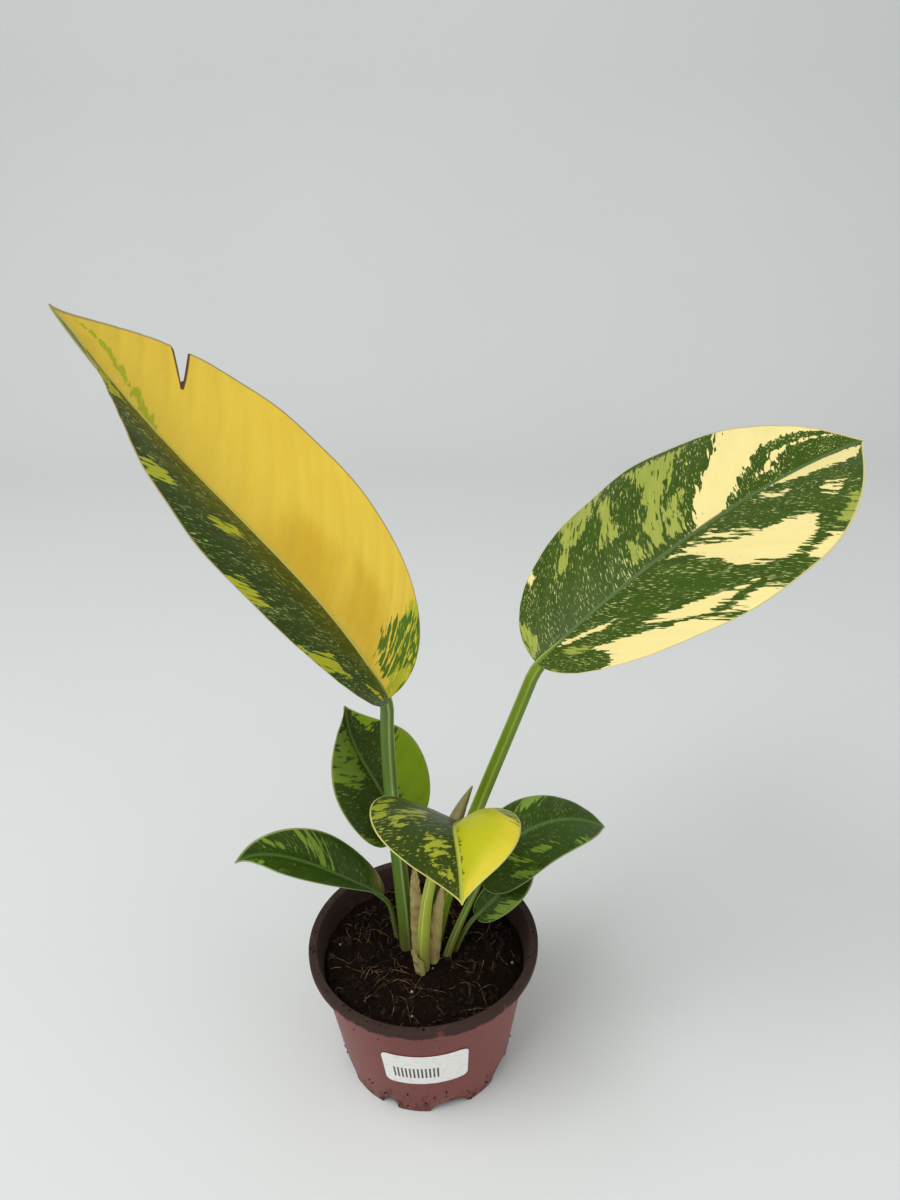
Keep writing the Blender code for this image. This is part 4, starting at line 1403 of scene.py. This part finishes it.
def make_label(finish):
    """Rows squeezed in near the top and bottom by a quarter circle, then wrapped on the cone."""
    width, height = LABEL_SIZE
    a, b = np.meshgrid(*(np.linspace(-1, 1, count) for count in LABEL_GRID), indexing="xy")
    flat_z = b * height / 2
    into = np.clip(np.abs(flat_z) - (height / 2 - LABEL_CORNER), 0, LABEL_CORNER)
    pull = LABEL_CORNER - np.sqrt(np.maximum(LABEL_CORNER**2 - into**2, 0))
    flat_x = a * (width / 2 - pull)
    tilt = math.radians(LABEL_TILT)
    x = flat_x * math.cos(tilt) - flat_z * math.sin(tilt)
    z = LABEL_MIDDLE + flat_x * math.sin(tilt) + flat_z * math.cos(tilt)
    lifted_corner = 0.12 * np.clip(a - 0.9, 0, 1) * 10 * (b > 0.6)
    crease = 0.05 * ripple(flat_x, flat_z, 61, finest=6.0) + lifted_corner
    turn = math.radians(LABEL_TURN) + x / wall_radius(LABEL_MIDDLE)
    sheets = []
    for depth in (LABEL_THICKNESS, 0.0):
        radius = wall_radius(z) + LABEL_GAP + np.abs(crease) + depth
        sheets.append(np.stack((radius * np.sin(turn), -radius * np.cos(turn), z), axis=-1))
    label = closed_sheet("paper_label", *sheets, finish)
    flat = np.stack((flat_x, flat_z, 0 * flat_x), axis=-1).reshape(-1, 3)
    store(label, "flat", np.tile(flat, (2, 1)), "FLOAT_VECTOR")
    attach(label, "root")
    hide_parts("blank_label")
    return label


def label_finish():
    """Coated white paper with a block of even bars, 1.8 mm apart, and patches of dust."""
    made, tree, shader = new_finish("coated_label_paper", Roughness=0.55)
    flat = add_node(tree, "ShaderNodeAttribute", attribute_name="flat").outputs["Vector"]
    axes = add_node(tree, "ShaderNodeSeparateXYZ", {0: flat}).outputs
    bars = add_node(
        tree, "ShaderNodeMath", {0: axes[0], 1: BAR_HALF_SPACING}, operation="PINGPONG").outputs[0]
    ink = add_node(
        tree, "ShaderNodeMath", {0: bars, 1: BAR_HALF_WIDTH}, operation="LESS_THAN").outputs[0]
    limits = (
        (axes[0], -15.0, "GREATER_THAN"), (axes[0], 6.0, "LESS_THAN"),
        (axes[1], -6.0, "GREATER_THAN"), (axes[1], 1.5, "LESS_THAN"),
    )
    for value, limit, test in limits:
        inside = add_node(tree, "ShaderNodeMath", {0: value, 1: limit}, operation=test)
        ink = add_node(
            tree, "ShaderNodeMath", {0: ink, 1: inside.outputs[0]}, operation="MULTIPLY").outputs[0]
    smudge = add_node(tree, "ShaderNodeTexNoise", {"Vector": flat, "Scale": 0.35, "Detail": 5.0})
    dirt = add_node(
        tree, "ShaderNodeMapRange",
        {"Value": smudge.outputs[0], "From Min": 0.52, "From Max": 0.8, "To Max": 0.5})
    fuzz = add_node(tree, "ShaderNodeTexNoise", {"Vector": flat, "Scale": 4.0, "Detail": 2.0})
    layers = ((ink, "#3A3A3C"), (dirt.outputs[0], "#B9AFA2"))
    return layered(made, tree, shader, "#EAEAE6", layers, fuzz.outputs[0], 0.2, 0.1)


label = make_label(label_finish())
print("label faces:", len(label.data.polygons))

# %% [markdown]
# ## Floor, light and camera
#
# The plant stands on a pale sweep of paper that runs up behind it with no corner. The light is one
# large soft source above and to the left, a weaker one to the right, and an even pale surround.

# %% The sweep
SWEEP_DEPTH = 900.0
SWEEP_BEND = 500.0
SWEEP_WIDTH = 6000.0
SWEEP_FRONT = 6000.0
SWEEP_TOP = 2500.0


def make_sweep(finish):
    """A floor that turns up through a quarter circle into a wall."""
    floor = np.array(((-SWEEP_FRONT, 0.0), (SWEEP_DEPTH, 0.0)))
    turn = np.linspace(0, np.pi / 2, 24)
    bend = np.stack(
        (SWEEP_DEPTH + SWEEP_BEND * np.sin(turn), SWEEP_BEND * (1 - np.cos(turn))), axis=-1)
    wall = np.array(((SWEEP_DEPTH + SWEEP_BEND, SWEEP_TOP),))
    line = np.concatenate((floor, bend[1:], wall))
    x = np.array((-SWEEP_WIDTH, SWEEP_WIDTH))
    points = np.stack(
        np.broadcast_arrays(x[None, :], line[:, :1], line[:, 1:]), axis=-1).reshape(-1, 3)
    index = np.arange(len(points)).reshape(len(line), 2)
    quads = np.stack((index[:-1, 0], index[:-1, 1], index[1:, 1], index[1:, 0]), axis=-1)
    sweep = object_from("paper_sweep", points, quads, finish=finish)
    return sweep


backdrop, tree, shader = new_finish("matt_grey_paper", Roughness=0.9)
grain_place = add_node(tree, "ShaderNodeTexCoord").outputs["Object"]
grain = add_node(tree, "ShaderNodeTexNoise", {"Vector": grain_place, "Scale": 3.0, "Detail": 2.0})
tone = add_node(
    tree, "ShaderNodeMix",
    {0: grain.outputs[0], 6: linear("#CDD0CF"), 7: linear("#D3D5D4")}, data_type="RGBA")
tree.links.new(tone.outputs[2], shader.inputs["Base Color"])
sweep = make_sweep(backdrop)


# %% Lights and surround
def soft_light(name, place, size, power, aim=(0.0, 0.0, 0.15)):
    """A square area light in metres and watts, turned to look at the aim."""
    data = bpy.data.lights.new(name, "AREA")
    data.shape = "SQUARE"
    data.size = size
    data.energy = power
    lamp = bpy.data.objects.new(name, data)
    lamp.location = place
    lamp.rotation_euler = (Vector(aim) - Vector(place)).to_track_quat("-Z", "Y").to_euler()
    bpy.context.scene.collection.objects.link(lamp)
    return lamp


soft_light("key", (-0.7, -0.5, 1.5), 1.2, 20.0)
soft_light("fill", (1.3, -0.7, 0.9), 1.4, 6.0)
world = bpy.data.worlds.new("pale_surround")
bpy.context.scene.world = world
world.use_nodes = True
surround = world.node_tree.nodes["Background"].inputs
surround["Color"].default_value = linear("#ECEDEC")
surround["Strength"].default_value = 0.72
bpy.context.scene.view_settings.view_transform = "Standard"

# %% [markdown]
# The camera looks down on the plant by 26 degrees, from close by, with a wide lens and a slight
# roll.

# %% The camera
CAMERA_PLACE = (0.0158, -0.3233, 0.4071)
CAMERA_PITCH = 26.35
CAMERA_ROLL = -1.17
CAMERA_LENS = 27.87


def make_camera():
    """Right, up and back vectors from the pitch below level and the roll about the view."""
    pitch, roll = math.radians(CAMERA_PITCH), math.radians(CAMERA_ROLL)
    ahead = Vector((0, math.cos(pitch), -math.sin(pitch)))
    level = Vector((1, 0, 0))
    upright = level.cross(ahead)
    right = level * math.cos(roll) + upright * math.sin(roll)
    up = upright * math.cos(roll) - level * math.sin(roll)
    data = bpy.data.cameras.new("camera")
    data.lens = CAMERA_LENS
    data.sensor_width = 36.0
    data.clip_start = 0.01
    made = bpy.data.objects.new("camera", data)
    turned = Matrix((right, up, -ahead)).transposed().to_4x4()
    made.matrix_world = Matrix.Translation(CAMERA_PLACE) @ turned
    bpy.context.scene.collection.objects.link(made)
    bpy.context.scene.camera = made
    return made


camera = make_camera()
print("camera at", CAMERA_PLACE)
